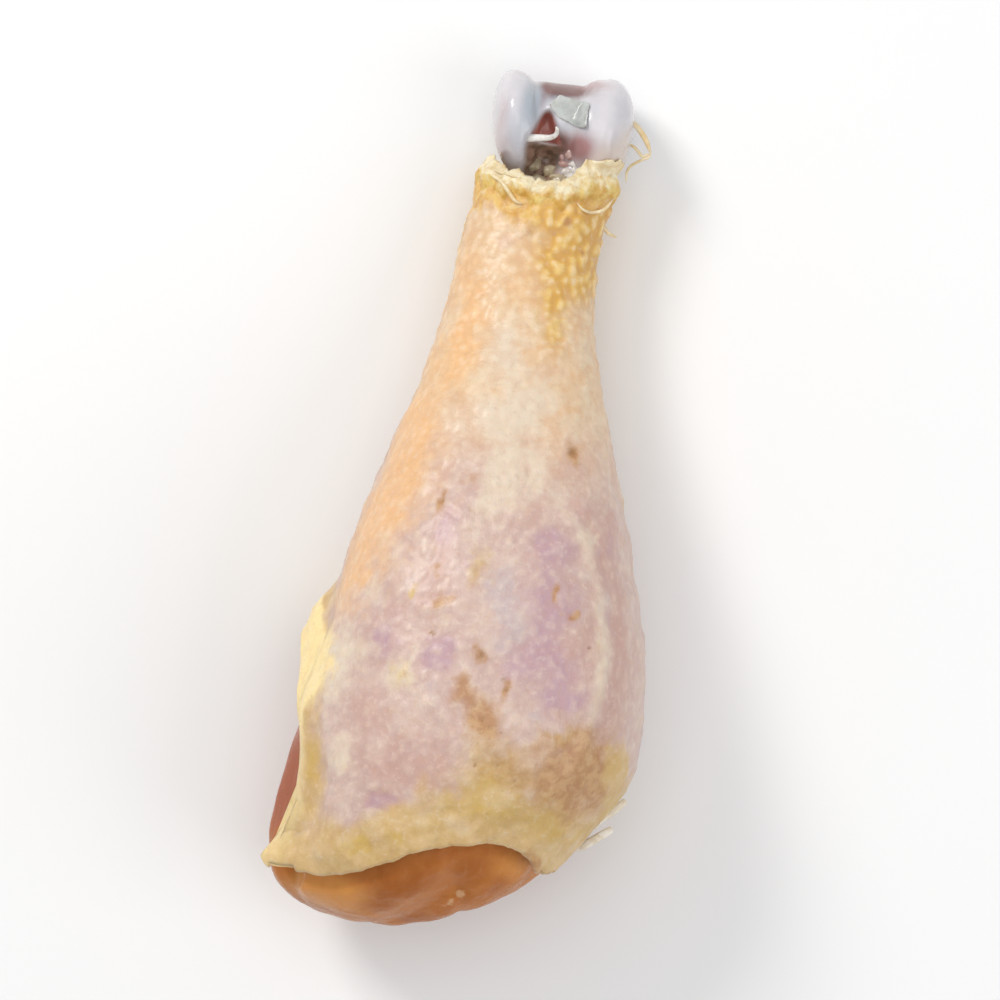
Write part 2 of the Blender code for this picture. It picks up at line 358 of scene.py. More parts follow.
def heightAt(trees, x, y):
    # the highest point of the given pieces over a place
    hits = [tree.ray_cast(Vector((x, y, castReach)), Vector((0, 0, -1)))[0] for tree in trees]
    return max([hit.z for hit in hits if hit], default=0.0)


def softRoute(knots, count):
    # a smooth line of count points through the knots
    knots = np.array(knots, float)
    ends = np.concatenate((2 * knots[:1] - knots[1:2], knots, 2 * knots[-1:] - knots[-2:-1]))
    route = []
    for t in np.linspace(0, len(knots) - 1 - 1e-6, count):
        i, f = int(t), t - int(t)
        a, b, c, d = ends[i:i + 4]
        route.append(0.5 * (2 * b + (c - a) * f + (2 * a - 5 * b + 4 * c - d) * f ** 2
                            + (3 * b - a - 3 * c + d) * f ** 3))
    return np.array(route)


def sweptStrand(route, halfWidths, sides, flatness, roughen, shift):
    # a closed strand along a route, with its own half width at each point, flattened and roughened
    tangents = unit(np.gradient(route, axis=0))
    side = unit(np.cross(tangents, (0.05, 0.1, 1.0)))
    lift = np.cross(side, tangents)
    around = 2 * math.pi * np.arange(sides) / sides
    wide = np.asarray(halfWidths)[None, :, None]
    points = route[None] + wide * (side[None] * np.cos(around)[:, None, None]
                                   + lift[None] * flatness * np.sin(around)[:, None, None])
    points = points + lift[None] * (roughen * mm * lumps(points, 0.8, 2, shift=shift))[..., None]
    points[:, 0] = route[0]
    points[:, -1] = route[-1]
    mesh = ringGrid(sides, len(route) - 1, False)
    layOn(mesh, points)
    return mesh


def joined(meshes):
    # several meshes as one
    whole = bmesh.new()
    for mesh in meshes:
        data = meshData("part", mesh)
        whole.from_mesh(data)
        bpy.data.meshes.remove(data)
    return whole


def spot(x, reach, places):
    # how close each point is to any of the named places: x, reach, half width, half length, weight
    total = np.zeros_like(x)
    for atX, atReach, halfX, halfReach, weight in places:
        total += weight * np.exp(-((x - atX) / halfX) ** 2 - ((reach - atReach) / halfReach) ** 2)
    return total


skinLook = {
    "around": 336,  # columns round the leg
    "rows": 236,  # rows along its outer face
    # rows over the hem's edge, the inner face and the collar's edge
    "lipRows": 4,
    "innerRows": 8,
    "collarRows": 3,
    # thickness in mm: at the hem, inside, and at the collar
    "hemWall": 1.3,
    "innerWall": 1.4,
    "collarWall": 1.0,
    "flapTips": (34, 159),  # angles of the hem's two pointed flaps
    "seedSpacing": (1.5, 1.65),  # between small bumps, at the ankle and on the belly
    "knobSpacing": (3.0, 4.4),  # between follicle bumps
    "jitter": 0.35,  # how far a bump strays, as a part of the spacing
    "missing": 0.06,  # share of the bumps that are left out
    "seed": 7,
    # reach of the slices that the leg's axis is found from: first, last and how many
    "axisSlices": (20, 82, 8),
    # mm that the cut edges wander, and how far the pointed flaps stand out
    "hemWander": 0.35,
    "collarWander": 0.6,
    "flapOut": 0.7,
    # heights of the sculpted relief, in mm
    "relief": {
        "broad": 0.42, "middle": 0.26, "bead": 0.15, "nodule": 0.38, "knob": 0.12, "pucker": 0.10,
        "shankCrease": 0.09, "bellyCrease": 0.02, "foldRidge": 0.22, "foldGroove": 0.20, "crust": 0.55,
        "fat": 0.30, "besideLip": 0.3, "pit": 0.35,
    },
    # the left outline below the lip, and the soft fold on the right: reach and across
    "leftEdge": ((93, -24.6), (96, -24.5), (99, -24.0), (103, -23.0), (105.6, -22.4), (112.3, -22.0),
                 (115.6, -22.9), (118, -24.1), (120.2, -25.6)),
    "fold": ((60, 6), (63.6, 9), (68, 12.9), (71.9, 14.6), (75.3, 16.5), (81.4, 17.9), (90, 18.4),
             (98, 17.8), (106, 16.0)),
    # puckers that folds spread from: across, reach, spokes, how far, and from and to which angle
    "puckers": ((0.3, 73.0, 19, 11, 15, 150), (2.4, 64.0, 17, 7, 20, 170), (-13, 106, 15, 9, 200, 340),
                (4, 100, 17, 8, 30, 150)),
    # small dark pits: across, reach, half width, half length, depth
    "pits": ((9.3, 55.6, 0.8, 0.9, 0.95), (1.1, 86.4, 0.45, 1.0, 0.9), (4.7, 89.3, 0.5, 0.5, 0.7),
             (5.4, 90.6, 0.5, 0.6, 0.8), (1.2, 93.6, 0.4, 0.6, 0.8), (2.6, 95.4, 0.8, 0.5, 0.8),
             (3.8, 96.4, 0.7, 0.5, 0.7), (5.6, 96.8, 0.5, 0.4, 0.7), (2.7, 101.9, 0.4, 0.5, 0.9),
             (5.8, 101.6, 0.35, 0.4, 0.7), (8.7, 103.2, 0.35, 0.4, 0.7), (4.0, 103.2, 0.5, 0.3, 0.5),
             (7.2, 105.0, 0.35, 0.3, 0.6), (1.2, 104.6, 0.3, 0.3, 0.4), (-6.4, 84.5, 0.5, 0.45, 0.7),
             (-8.1, 65.8, 0.5, 0.6, 0.6), (-6.0, 79.2, 0.9, 0.6, 0.35), (16.1, 82.9, 0.3, 0.3, 1.0),
             (-1.6, 74.6, 0.3, 0.9, 0.4), (-0.6, 77.6, 0.35, 0.7, 0.4), (-4.0, 100.2, 0.3, 0.3, 0.5)),
    # yellow nodules, creases and straw-coloured fat: across, reach, half width, half length, weight
    "gold": ((3.6, 28, 4.2, 5.0, 1.2), (1.5, 22, 5.5, 2.2, 0.9), (7.6, 27, 3, 6, 0.9),
             (3, 35, 1.6, 2.4, 0.7), (3.8, 39.5, 1.6, 3, 0.5)),
    "creases": ((17, 104, 5, 7, 1.0), (-14, 100, 4, 7, 0.6), (4, 50, 7, 6, 0.5), (-6, 71, 4, 5, 0.2),
                (12, 60, 3, 6, 0.5), (-20, 92, 3, 8, 0.4)),
    "straw": ((4, 103, 5.5, 6, 1.0), (14, 103, 8, 7, 0.8)),
    # pairs of tones that are mottled together, for the low and the high places of a noise
    "mottles": {
        "belly": ((0.59, 0.415, 0.365), (0.67, 0.505, 0.435)),
        "shank": ((0.74, 0.49, 0.285), (0.78, 0.60, 0.40)),
        "fat": ((0.585, 0.385, 0.13), (0.69, 0.48, 0.215)),
        "crust": ((0.62, 0.31, 0.045), (0.80, 0.53, 0.155)),
        "gold": ((0.67, 0.37, 0.065), (0.83, 0.56, 0.18)),
        "tan": ((0.565, 0.325, 0.14), (0.45, 0.22, 0.088)),
    },
    # tone of each patch, how strong it may get, and the mask values where it starts and is full
    "tints": {
        "peach": ((0.84, 0.49, 0.225), 0.95, 0.05, 1.25),
        "pink": ((0.57, 0.355, 0.305), 0.85, 0.05, 0.8),
        "lilac": ((0.515, 0.33, 0.37), 0.9, 0.05, 0.8),
        "ash": ((0.555, 0.445, 0.445), 0.85, 0.05, 0.8),
        "pale": ((0.76, 0.635, 0.495), 0.85, 0.05, 0.8),
        "ochre": ((0.62, 0.41, 0.10), 0.8, 0.05, 0.8),
    },
    # coloured patches, as seen from above: across, reach, half width, half length, weight
    "patches": {
        "pink": (
            (15, 67, 2.6, 5, 0.9), (17, 76, 2, 6, 0.8), (21, 88, 2, 8, 0.6), (9.5, 58, 3, 4, 0.5),
            (6, 65, 4, 2.5, 0.4), (-7, 69.5, 2.4, 4, 0.6), (-7, 78, 3, 5, 0.6), (-13, 85, 4, 5, 0.6),
            (-6.5, 104.5, 8, 3.6, 1.0), (-9.6, 109, 2.4, 1.4, 1.0), (-13.5, 97, 4, 4, 0.6),
            (-4, 98.5, 5, 2.5, 0.5), (12, 84, 7, 4, 0.6), (14, 91, 5, 3, 0.6), (-5, 26.6, 2, 1.6, 0.4),
            (-4, 62, 3, 3, 0.3), (4, 45, 4, 1.5, 0.3)),
        "lilac": (
            (8.7, 69.8, 3.4, 3.2, 0.85), (9.4, 78, 3.8, 4.6, 0.9), (8.5, 84.5, 3.6, 3.2, 0.6),
            (12.5, 86, 2.4, 2.4, 0.5), (13.6, 90.3, 3.6, 2.6, 1.1), (-4.8, 87.2, 2.8, 2.6, 1.1),
            (-13, 86, 2.0, 3.0, 0.9), (-9.7, 109.2, 2.0, 1.3, 1.2), (-6.8, 69.6, 2.2, 2.4, 0.6),
            (6, 88, 3, 3, 0.5), (-1, 92.5, 2.4, 2, 0.4), (16.4, 68.6, 1.2, 2, 0.5)),
        "ash": (
            (2.9, 77.5, 2.4, 4.2, 0.9), (4.6, 83, 2.4, 3, 0.6), (17.4, 77, 1.0, 4, 0.5),
            (-19.3, 91, 1.4, 4.5, 0.6), (-5, 92.5, 1.6, 1.6, 0.5), (10, 93.5, 2.2, 1.2, 0.6),
            (3, 60.5, 1.6, 1.8, 0.4), (-15.2, 81, 1.4, 2, 0.4)),
        "ochre": (
            (-11.3, 116.6, 1.7, 1.0, 0.9), (-6.2, 113.3, 2.2, 1.0, 0.6), (-20.6, 106, 1.2, 2.6, 0.7),
            (-20.6, 113, 1.2, 2, 0.4), (-11, 79.6, 0.8, 0.9, 1.1), (5, 107, 5, 2.6, 0.6),
            (16, 108, 5, 4, 0.7), (22.8, 102, 2.0, 6, 1.0), (6, 104, 4, 3.4, 0.4), (18, 100, 3, 5, 0.3),
            (13.7, 95.4, 2.0, 1.1, 0.7), (-9.7, 91, 1.2, 2.6, 0.5), (-1.2, 74.6, 1.6, 3, 0.6),
            (6.6, 30.4, 1.1, 1.6, 0.8), (2.8, 34.6, 1.1, 1.3, 0.6), (3.7, 39, 0.9, 2, 0.5),
            (0.4, 38, 1.0, 1.4, 0.3)),
        "peach": (
            (-8.4, 39, 1.8, 5, 0.9), (-9.8, 45, 2.4, 5, 0.9), (-14.5, 57, 4.0, 9, 1.0),
            (-17.5, 69, 4.0, 10, 1.0), (-20, 79, 3.2, 7, 0.8), (-10.5, 31, 3, 8, 0.7),
            (-12, 62, 6, 14, 0.3), (-2, 33, 5, 8, 0.5), (6, 45, 4, 2, 0.3)),
        "tan": (
            (-0.6, 91.4, 2.2, 2.0, 0.8), (2.4, 94.8, 3.0, 2.5, 1.1), (4.8, 97.4, 1.8, 1.8, 0.8),
            (6, 102.5, 4, 3.8, 0.5), (15.6, 101, 5.5, 7, 1.1), (14.4, 95.6, 2.2, 1.2, 0.3),
            (19.5, 103, 3, 5, 0.5), (-5.7, 79.5, 1.3, 1.2, 1.4), (9.6, 56.1, 1.6, 1.9, 1.0),
            (10.4, 75.6, 0.6, 1.7, 1.1), (12.0, 79.2, 0.8, 1.0, 1.0), (-7.1, 75.6, 0.9, 0.9, 1.0),
            (-8.2, 65.9, 0.9, 1.1, 1.2), (-6.3, 84.5, 0.8, 0.7, 0.9), (0.9, 86.4, 0.9, 1.4, 0.9),
            (5.1, 90, 1.0, 1.4, 1.1), (-5.6, 62.3, 1.8, 0.8, 0.5), (-3.6, 66.8, 2, 0.7, 0.4),
            (2.4, 23.2, 0.9, 0.8, 0.9), (1.2, 24.6, 1.0, 0.6, 0.8), (-3.0, 25.6, 1.1, 0.8, 0.8),
            (5.3, 26.3, 1.0, 0.8, 0.9), (3.6, 20.6, 0.7, 0.9, 0.7), (-1.6, 22.9, 0.8, 0.7, 0.7),
            (10.5, 68, 1, 2, 0.3)),
        "pale": (
            (-1, 53, 5, 4, 0.9), (0, 60.5, 2.8, 3.4, 1.1), (-2, 66, 2, 3, 0.7), (4.6, 60.5, 1.6, 3, 0.6),
            (13.4, 67, 1.2, 2, 0.6), (-19, 91, 2.0, 5.5, 0.9), (-2.6, 43, 4, 5, 0.7),
            (-16, 88, 1.4, 3, 0.5), (-9.7, 91, 1.6, 3.2, 0.9), (-2.5, 110, 4, 1.3, 0.8),
            (-16.4, 104, 2, 3, 0.7), (3, 49, 4, 3, 0.6), (-15.5, 73, 1.6, 3, 0.3), (8, 62, 2.5, 2, 0.4),
            (-0.4, 25.3, 1.4, 0.8, 0.6), (-15.5, 79.5, 1.6, 2, 0.6), (-5, 82, 1.2, 1.2, 0.5),
            (18.4, 84, 0.8, 4, 0.4)),
    },
}


def skinAxis(sheet):
    # the line that the skin's columns are cast towards, from slices of the CAD skin
    places = np.array([vert.co for vert in sheet.verts])
    first, last, count = skinLook["axisSlices"]
    ys = np.linspace(knuckleTop - first * mm, knuckleTop - last * mm, count)
    centres = []
    for y in ys:
        band = places[np.abs(places[:, 1] - y) < 4 * mm]
        centres.append((band.min(0) + band.max(0)) / 2)
    centres = np.array(centres)
    return lambda y: Vector((
        float(np.interp(-y, -ys, centres[:, 0])), y, float(np.interp(-y, -ys, centres[:, 2]))))


def edgeOf(tree, axis, outward, inside, outside):
    # the y where a column leaves the sheet, between one y that hits it and one that misses
    halvings = 13
    for step in range(halvings):
        middle = (inside + outside) / 2
        if castAt(tree, axis(middle), outward) is None:
            outside = middle
        else:
            inside = middle
    return inside


def cutEdges(tree, axis, angles, tips):
    # y of the collar and of the hem for each column, wandering a little as cut skin does
    inside = knuckleTop - 50 * mm
    outwards = [outwardAt(angle) for angle in angles]
    collarY = np.array([edgeOf(tree, axis, outward, inside, knuckleTop) for outward in outwards])
    hemY = np.array([edgeOf(tree, axis, outward, inside, cadBox[0].y - 0.002) for outward in outwards])
    rim = circleAt(angles, 0.02)
    wander = skinLook["hemWander"]
    hemY += mm * (wander + wander * lumps(rim, 3.0, 3) * (1 - tips) - skinLook["flapOut"] * tips)
    wander = skinLook["collarWander"]
    collarY -= mm * np.maximum(wander / 2 + wander * lumps(rim * 0.5, 1.6, 3, shift=9.0), 0.05)
    return collarY, hemY


def castSkin(tree, axis, angles, collarY, hemY):
    # a grid of points on the form, in rows from the collar to the hem
    rows = skinLook["rows"]
    evenHem = evened(hemY, 200)  # most rows follow this, and only the last ones bend to the hem
    points = np.zeros((len(angles), rows + 1, 3))
    for i, angle in enumerate(angles):
        outward = outwardAt(angle)
        for j in range(rows + 1):
            part = j / rows
            y = collarY[i] + (evenHem[i] - collarY[i]) * part + (hemY[i] - evenHem[i]) * part ** 4
            hit = castAt(tree, axis(y), outward)
            points[i, j] = hit if hit else points[i, j - 1]
    return points


def leftEdgePull(points):
    # how far the hem's left side must move in, by reach, so that the bare meat shows past it
    x, reach, z = placesOf(points)
    reaches, wanted = zip(*skinLook["leftEdge"])
    outline = [x[(z > 17) & (x < -15) & (np.abs(reach - at) < 1.0)].min() for at in reaches]
    return lambda at: np.interp(at, reaches, np.array(wanted) - np.array(outline)) * smooth(88, 94, at)


def sheetNormals(points):
    # neighbouring columns are compared at the same y, because the rows run askew by the hem
    sides = []
    for step in (-1, 1):
        other = np.roll(points, step, 0)
        side = points.copy()
        for here, there, found in zip(points, other, side):
            inside = here[:, 1] > there[:, 1].min()
            for k in (0, 2):
                found[inside, k] = np.interp(-here[:, 1], -there[:, 1], there[:, k])[inside]
        sides.append(side)
    crossed = np.cross(sides[0] - sides[1], np.gradient(points, axis=1))
    lost = np.linalg.norm(crossed, axis=-1) < 1e-12
    crossed[lost] = gridNormals(points)[lost]
    return unit(crossed)


def follicles(tree, axis, firstY, lastY, tight, wide, dice):
    # staggered, jittered rows of bumps: place, spacing and strength
    found = []
    stray = skinLook["jitter"]
    y = firstY
    odd = 0
    while y > lastY:
        reach = (knuckleTop - y) / mm
        spacing = (tight + (wide - tight) * float(smooth(35, 80, reach))) * mm
        ring = castAt(tree, axis(y), outwardAt(math.pi / 2))
        girth = 2 * math.pi * ((ring - axis(y)).length if ring else 0.02)
        count = max(int(girth / spacing), 6)
        for k in range(count):
            angle = 2 * math.pi * (k + odd / 2 + dice.uniform(-stray, stray)) / count
            at = y + dice.uniform(-stray, stray) * spacing
            hit = castAt(tree, axis(at), outwardAt(angle))
            if hit and dice.uniform() > skinLook["missing"]:
                found.append((hit, spacing * dice.uniform(0.85, 1.2), dice.uniform(0.35, 1)))
        y -= spacing * 0.87
        odd = 1 - odd
    return found


def nearestTo(places):
    tree = kdtree.KDTree(len(places))
    for i, place in enumerate(places):
        tree.insert(place, i)
    tree.balance()
    return tree


def bumpsAt(points, seeds, width, weighted=True):
    # soft round bumps over the seeds, whose width is a part of their spacing
    tree = nearestTo([seed[0] for seed in seeds])
    values = []
    for p in points.reshape(-1, 3).tolist():
        total = 0.0
        for place, i, distance in tree.find_n(p, 3):
            spacing, weight = seeds[i][1:]
            total += (weight if weighted else 1.0) * math.exp(-(distance / (width * spacing)) ** 2)
        values.append(total)
    return np.array(values).reshape(points.shape[:-1])


def skinZones(outer, normals, degrees, collarY):
    # where things are on the leg: distances in mm, turns in degrees, and zones from 0 to 1
    on = SimpleNamespace(points=outer)
    on.x, on.reach = placesOf(outer)[:2]
    on.turn = np.broadcast_to(degrees[:, None], on.x.shape)
    hemTree = nearestTo(outer[:, -1])
    hemDistances = [hemTree.find(p)[2] for p in outer.reshape(-1, 3).tolist()]
    on.hem = np.array(hemDistances).reshape(on.x.shape) / mm
    collar = (evened(collarY, 30)[:, None] - outer[..., 1]) / mm
    up = normals[..., 2]
    on.blotch = lumps(outer, 9, 3, shift=21.0)
    on.fine = lumps(outer, 3.2, 3, shift=5.0)
    on.top = smooth(-0.15, 0.35, up)
    on.shank = 1 - smooth(32, 56, on.reach)
    on.crust = (1 - smooth(3.0, 8.0, collar + 2.5 * on.fine)) * smooth(-0.5, 0.4, up + 0.6)
    on.leftSide = smooth(148, 166, on.turn) * (1 - smooth(232, 262, on.turn))
    lip = on.leftSide * (1 - smooth(3.5, 6.0, on.hem)) * smooth(80.5, 82.5, on.reach)
    lip = lip * (1 - 0.5 * smooth(98, 106, on.reach))
    on.lip = lip + on.top * smooth(18.2, 22.0, -on.x - 1.5 * on.fine) * (
        smooth(82, 90, on.reach + 2 * on.fine)) * (1 - smooth(93, 101, on.reach + 3 * on.blotch))
    on.hemFat = 1 - smooth(3.0, 11.0, on.hem + 2.6 * lumps(outer, 7, 3, shift=3.0))
    gold = spot(on.x, on.reach, skinLook["gold"]) * on.top + 0.6 * (1 - on.top) * bell(on.reach, 27, 8)
    on.gold = np.clip(gold * (1 + 0.5 * on.fine), 0, 1)
    on.creases = spot(on.x, on.reach, skinLook["creases"])
    on.pit = np.clip(spot(on.x, on.reach, skinLook["pits"]), 0, 1) * on.top
    foldReaches, foldPlaces = zip(*skinLook["fold"])
    on.besideFold = on.x - np.interp(on.reach, foldReaches, foldPlaces) - 0.5 * on.fine
    on.fold = on.top * smooth(61, 66, on.reach) * (1 - smooth(98, 106, on.reach))
    return on


def puckerFolds(on):
    folds = np.zeros_like(on.x)
    for atX, atReach, spokes, far, first, last in skinLook["puckers"]:
        away = np.hypot(on.x - atX, on.reach - atReach)
        turn = np.degrees(np.arctan2(atReach - on.reach, on.x - atX)) % 360
        wander = lumps(on.points, 2.6, 2, shift=spokes)
        inside = smooth(first - 15, first + 15, turn) * (1 - smooth(last - 15, last + 15, turn))
        wave = np.cos(np.radians(turn) * spokes + 2.5 * wander)
        folds += wave * bell(away, far * 0.5, far * 0.4) * inside
    return folds


def skinHeights(on):
    # the sculpted heights, in mm
    points, top, shank, hemFat, gold = on.points, on.top, on.shank, on.hemFat, on.gold
    tall = SimpleNamespace(**skinLook["relief"])
    broad = tall.broad * lumps(points, 12, 2, shift=1.0)
    middle = tall.middle * lumps(points, 5.5, 2, shift=2.0)
    height = (broad + middle) * (1 - 0.55 * shank)
    beadTall = tall.bead + 0.06 * shank * top
    height += on.bead * beadTall * (1 - 0.75 * hemFat) * (1 - gold) + on.nodule * tall.nodule * gold
    height += on.knob * (tall.knob + 0.26 * (1 - top)) * (1 - hemFat) * (1 - shank * top)
    height += tall.pucker * puckerFolds(on) * top
    height += tall.shankCrease * shank * ridges(turned(points, 80), 1.8, 2, (1.0, 0.25, 0.6), 24.0)
    slanted = ridges(turned(points, 10), 2.2, 2, (1.0, 0.20, 0.6), 4.0)
    height += (tall.bellyCrease + 0.10 * on.creases) * slanted * (1 - shank)
    foldRidge = tall.foldRidge * bell(on.besideFold, 0, 1.2)
    foldGroove = tall.foldGroove * bell(on.besideFold, 1.9, 0.9)
    height += on.fold * (foldRidge - foldGroove)
    height += on.crust * (tall.crust * lumps(points, 2.2, 3, (1.0, 0.7, 1.0), 8.0) + 0.25 * on.fine)
    height += gold * 0.25 * lumps(points, 3.0, 2, shift=18.0)
    height += hemFat * (tall.fat + 0.35 * lumps(points, 4.2, 3, shift=6.0))
    height -= on.leftSide * tall.besideLip * bell(on.hem, 7.0, 2.2)
    quiet = 1 - 0.75 * on.leftSide * smooth(88, 96, on.reach)
    height = height * quiet - on.pit * tall.pit
    return height + (evened(height, 4) - height) * shank


def roundedEdge(outer, normals, row, before, wall, steps):
    # the half-round edge from the outer face to the inner one
    onwards = unit(outer[:, row] - outer[:, before])
    out = normals[:, row]
    middle = outer[:, row] - out * wall[:, None] / 2
    return [middle + (out * math.cos(t) + onwards * math.sin(t)) * wall[:, None] / 2
            for t in [math.pi * (k + 1) / (steps + 1) for k in range(steps)]]


def skinWall(outer, base, normals, thickness):
    # the outer face, the hem's edge, the inner face and the collar's edge, as one closed ring
    rows, innerRows = skinLook["rows"], skinLook["innerRows"]
    inner = [outer[:, rows] - normals[:, rows] * thickness[:, None]]
    for k in range(1, innerRows + 1):
        row = round(rows * (1 - k / innerRows))
        wall = skinLook["innerWall"] if k < innerRows else skinLook["collarWall"]
        inner.append(base[:, row] - normals[:, row] * (wall * mm))
    hemLip = roundedEdge(outer, normals, rows, rows - 2, thickness, skinLook["lipRows"])
    collarWall = np.full(len(outer), skinLook["collarWall"] * mm)
    collarLip = roundedEdge(outer, normals, 0, 2, collarWall, skinLook["collarRows"])[::-1]
    return np.concatenate((outer, np.stack(hemLip + inner + collarLip, axis=1)), axis=1)


def overWall(values, length):
    # a mask of the outer face, carried over the edges and the inner face
    extra = length - values.shape[1]
    hemSide = np.repeat(values[:, -1:], extra // 2, 1)
    collarSide = np.repeat(values[:, :1], extra - extra // 2, 1)
    return np.concatenate((values, hemSide, collarSide), axis=1)


def skinMasks(on, points):
    x, reach, top = on.x, on.reach, on.top
    # what doesn't show from above is coloured the same way, in patches of its own
    belly = 1 - on.shank
    others = {
        "pink": 0.6 * smooth(0.0, 0.4, on.blotch) * belly,
        "lilac": 0.6 * smooth(0.1, 0.5, lumps(points, 12, 2, shift=40.0)) * belly,
        "ash": 0.4 * smooth(0.2, 0.6, lumps(points, 7, 2, shift=45.0)) * belly,
        "ochre": 0.5 * smooth(0.0, 0.8, lumps(points, 8, 3, shift=50.0)) + 0.4 * bell(reach, 28, 9),
        "peach": 0.5 * on.shank + 0.4 * smooth(0.1, 0.5, lumps(points, 11, 2, shift=60.0)),
        "tan": 0.5 * smooth(0.3, 0.7, lumps(points, 7, 3, shift=70.0)),
        "pale": 0.5 * smooth(0.0, 0.7, lumps(points, 6, 3, shift=80.0)),
    }
    wavyX = x + 1.5 * on.fine + 0.8 * on.blotch
    wavyReach = reach + 1.6 * lumps(points, 3.2, 3, shift=15.0) + 0.8 * lumps(points, 9, 2, shift=25.0)
    masks = {}
    for key, places in skinLook["patches"].items():
        masks[key] = spot(wavyX, wavyReach, places) * top + others[key] * (1 - top)
    # along the fold, the pale line on its ridge is a painted highlight and the pink in its groove is
    # painted shade
    masks["pale"] = masks["pale"] + on.fold * (0.45 + 0.3 * on.blotch) * bell(on.besideFold, -0.3, 1.2)
    masks["pink"] = masks["pink"] + on.fold * 0.6 * bell(on.besideFold, 2.4, 1.4)
    masks["tan"] = masks["tan"] + bell(on.turn, 46, 8) * (1 - smooth(0.3, 1.4, on.hem))
    masks["fat"] = np.maximum(on.hemFat, 0.6 * spot(wavyX, wavyReach, skinLook["straw"]) * top)
    masks["warm"] = 1 - smooth(47, 66, reach + 2.0 * on.blotch)
    for key in ("bead", "nodule", "knob", "pit", "lip", "crust", "shank", "gold"):
        masks[key] = getattr(on, key)
    return masks


def buildSkin():
    sheet = outerSheet("skin", rimAngle=0.9)
    axis = skinAxis(sheet)
    tree = castingForm(sheet, levels=2)
    turns = np.arange(skinLook["around"]) / skinLook["around"]
    angles = 2 * math.pi * turns + 0.30 * np.sin(2 * math.pi * turns)  # closer together at the left
    degrees = np.degrees(angles)
    tips = sum(bell(degrees, tip, 6) for tip in skinLook["flapTips"])
    collarY, hemY = cutEdges(tree, axis, angles, tips)
    outer = castSkin(tree, axis, angles, collarY, hemY)
    pull = leftEdgePull(outer)
    x, reach, z = placesOf(outer)
    outer[..., 0] += pull(reach) * smooth(16, 22, -x) * smooth(12, 18, z) * mm
    print("skin laid out")

    normals = facingOut(sheetNormals(outer), skinLook["rows"] // 2)
    on = skinZones(outer, normals, degrees, collarY)
    dice = np.random.default_rng(skinLook["seed"])
    ends = float(collarY.max()), float(hemY.min())
    seeds = follicles(tree, axis, *ends, *skinLook["seedSpacing"], dice)
    on.bead = bumpsAt(outer, seeds, 0.36)
    on.nodule = bumpsAt(outer, seeds, 0.44, False)
    on.knob = bumpsAt(outer, follicles(tree, axis, *ends, *skinLook["knobSpacing"], dice), 0.34)
    print("follicles", len(seeds))

    raised = normals * (skinHeights(on) * mm)[..., None]
    outer = outer + raised
    outer[..., 2] = np.maximum(outer[..., 2], 0.02 * mm)
    leftRim = smooth(166, 176, degrees) * (1 - smooth(215, 240, degrees))
    thickness = mm * (skinLook["hemWall"] + 0.25 * lumps(circleAt(angles, 0.02), 2.4, 2, shift=2.0)
                      + 0.5 * leftRim)
    thickness *= 1 - 0.45 * tips
    ring = skinWall(outer, outer - raised, normals, thickness)
    ring[..., 2] = np.maximum(ring[..., 2], 0.02 * mm)
    mesh = ringGrid(skinLook["around"], ring.shape[1], True)
    layOn(mesh, ring)
    masks = {key: overWall(values, ring.shape[1]) for key, values in skinMasks(on, outer).items()}
    addPiece("drumstick_skin", mesh, skinFinish(), masks, ["skin"])
    return axis, pull


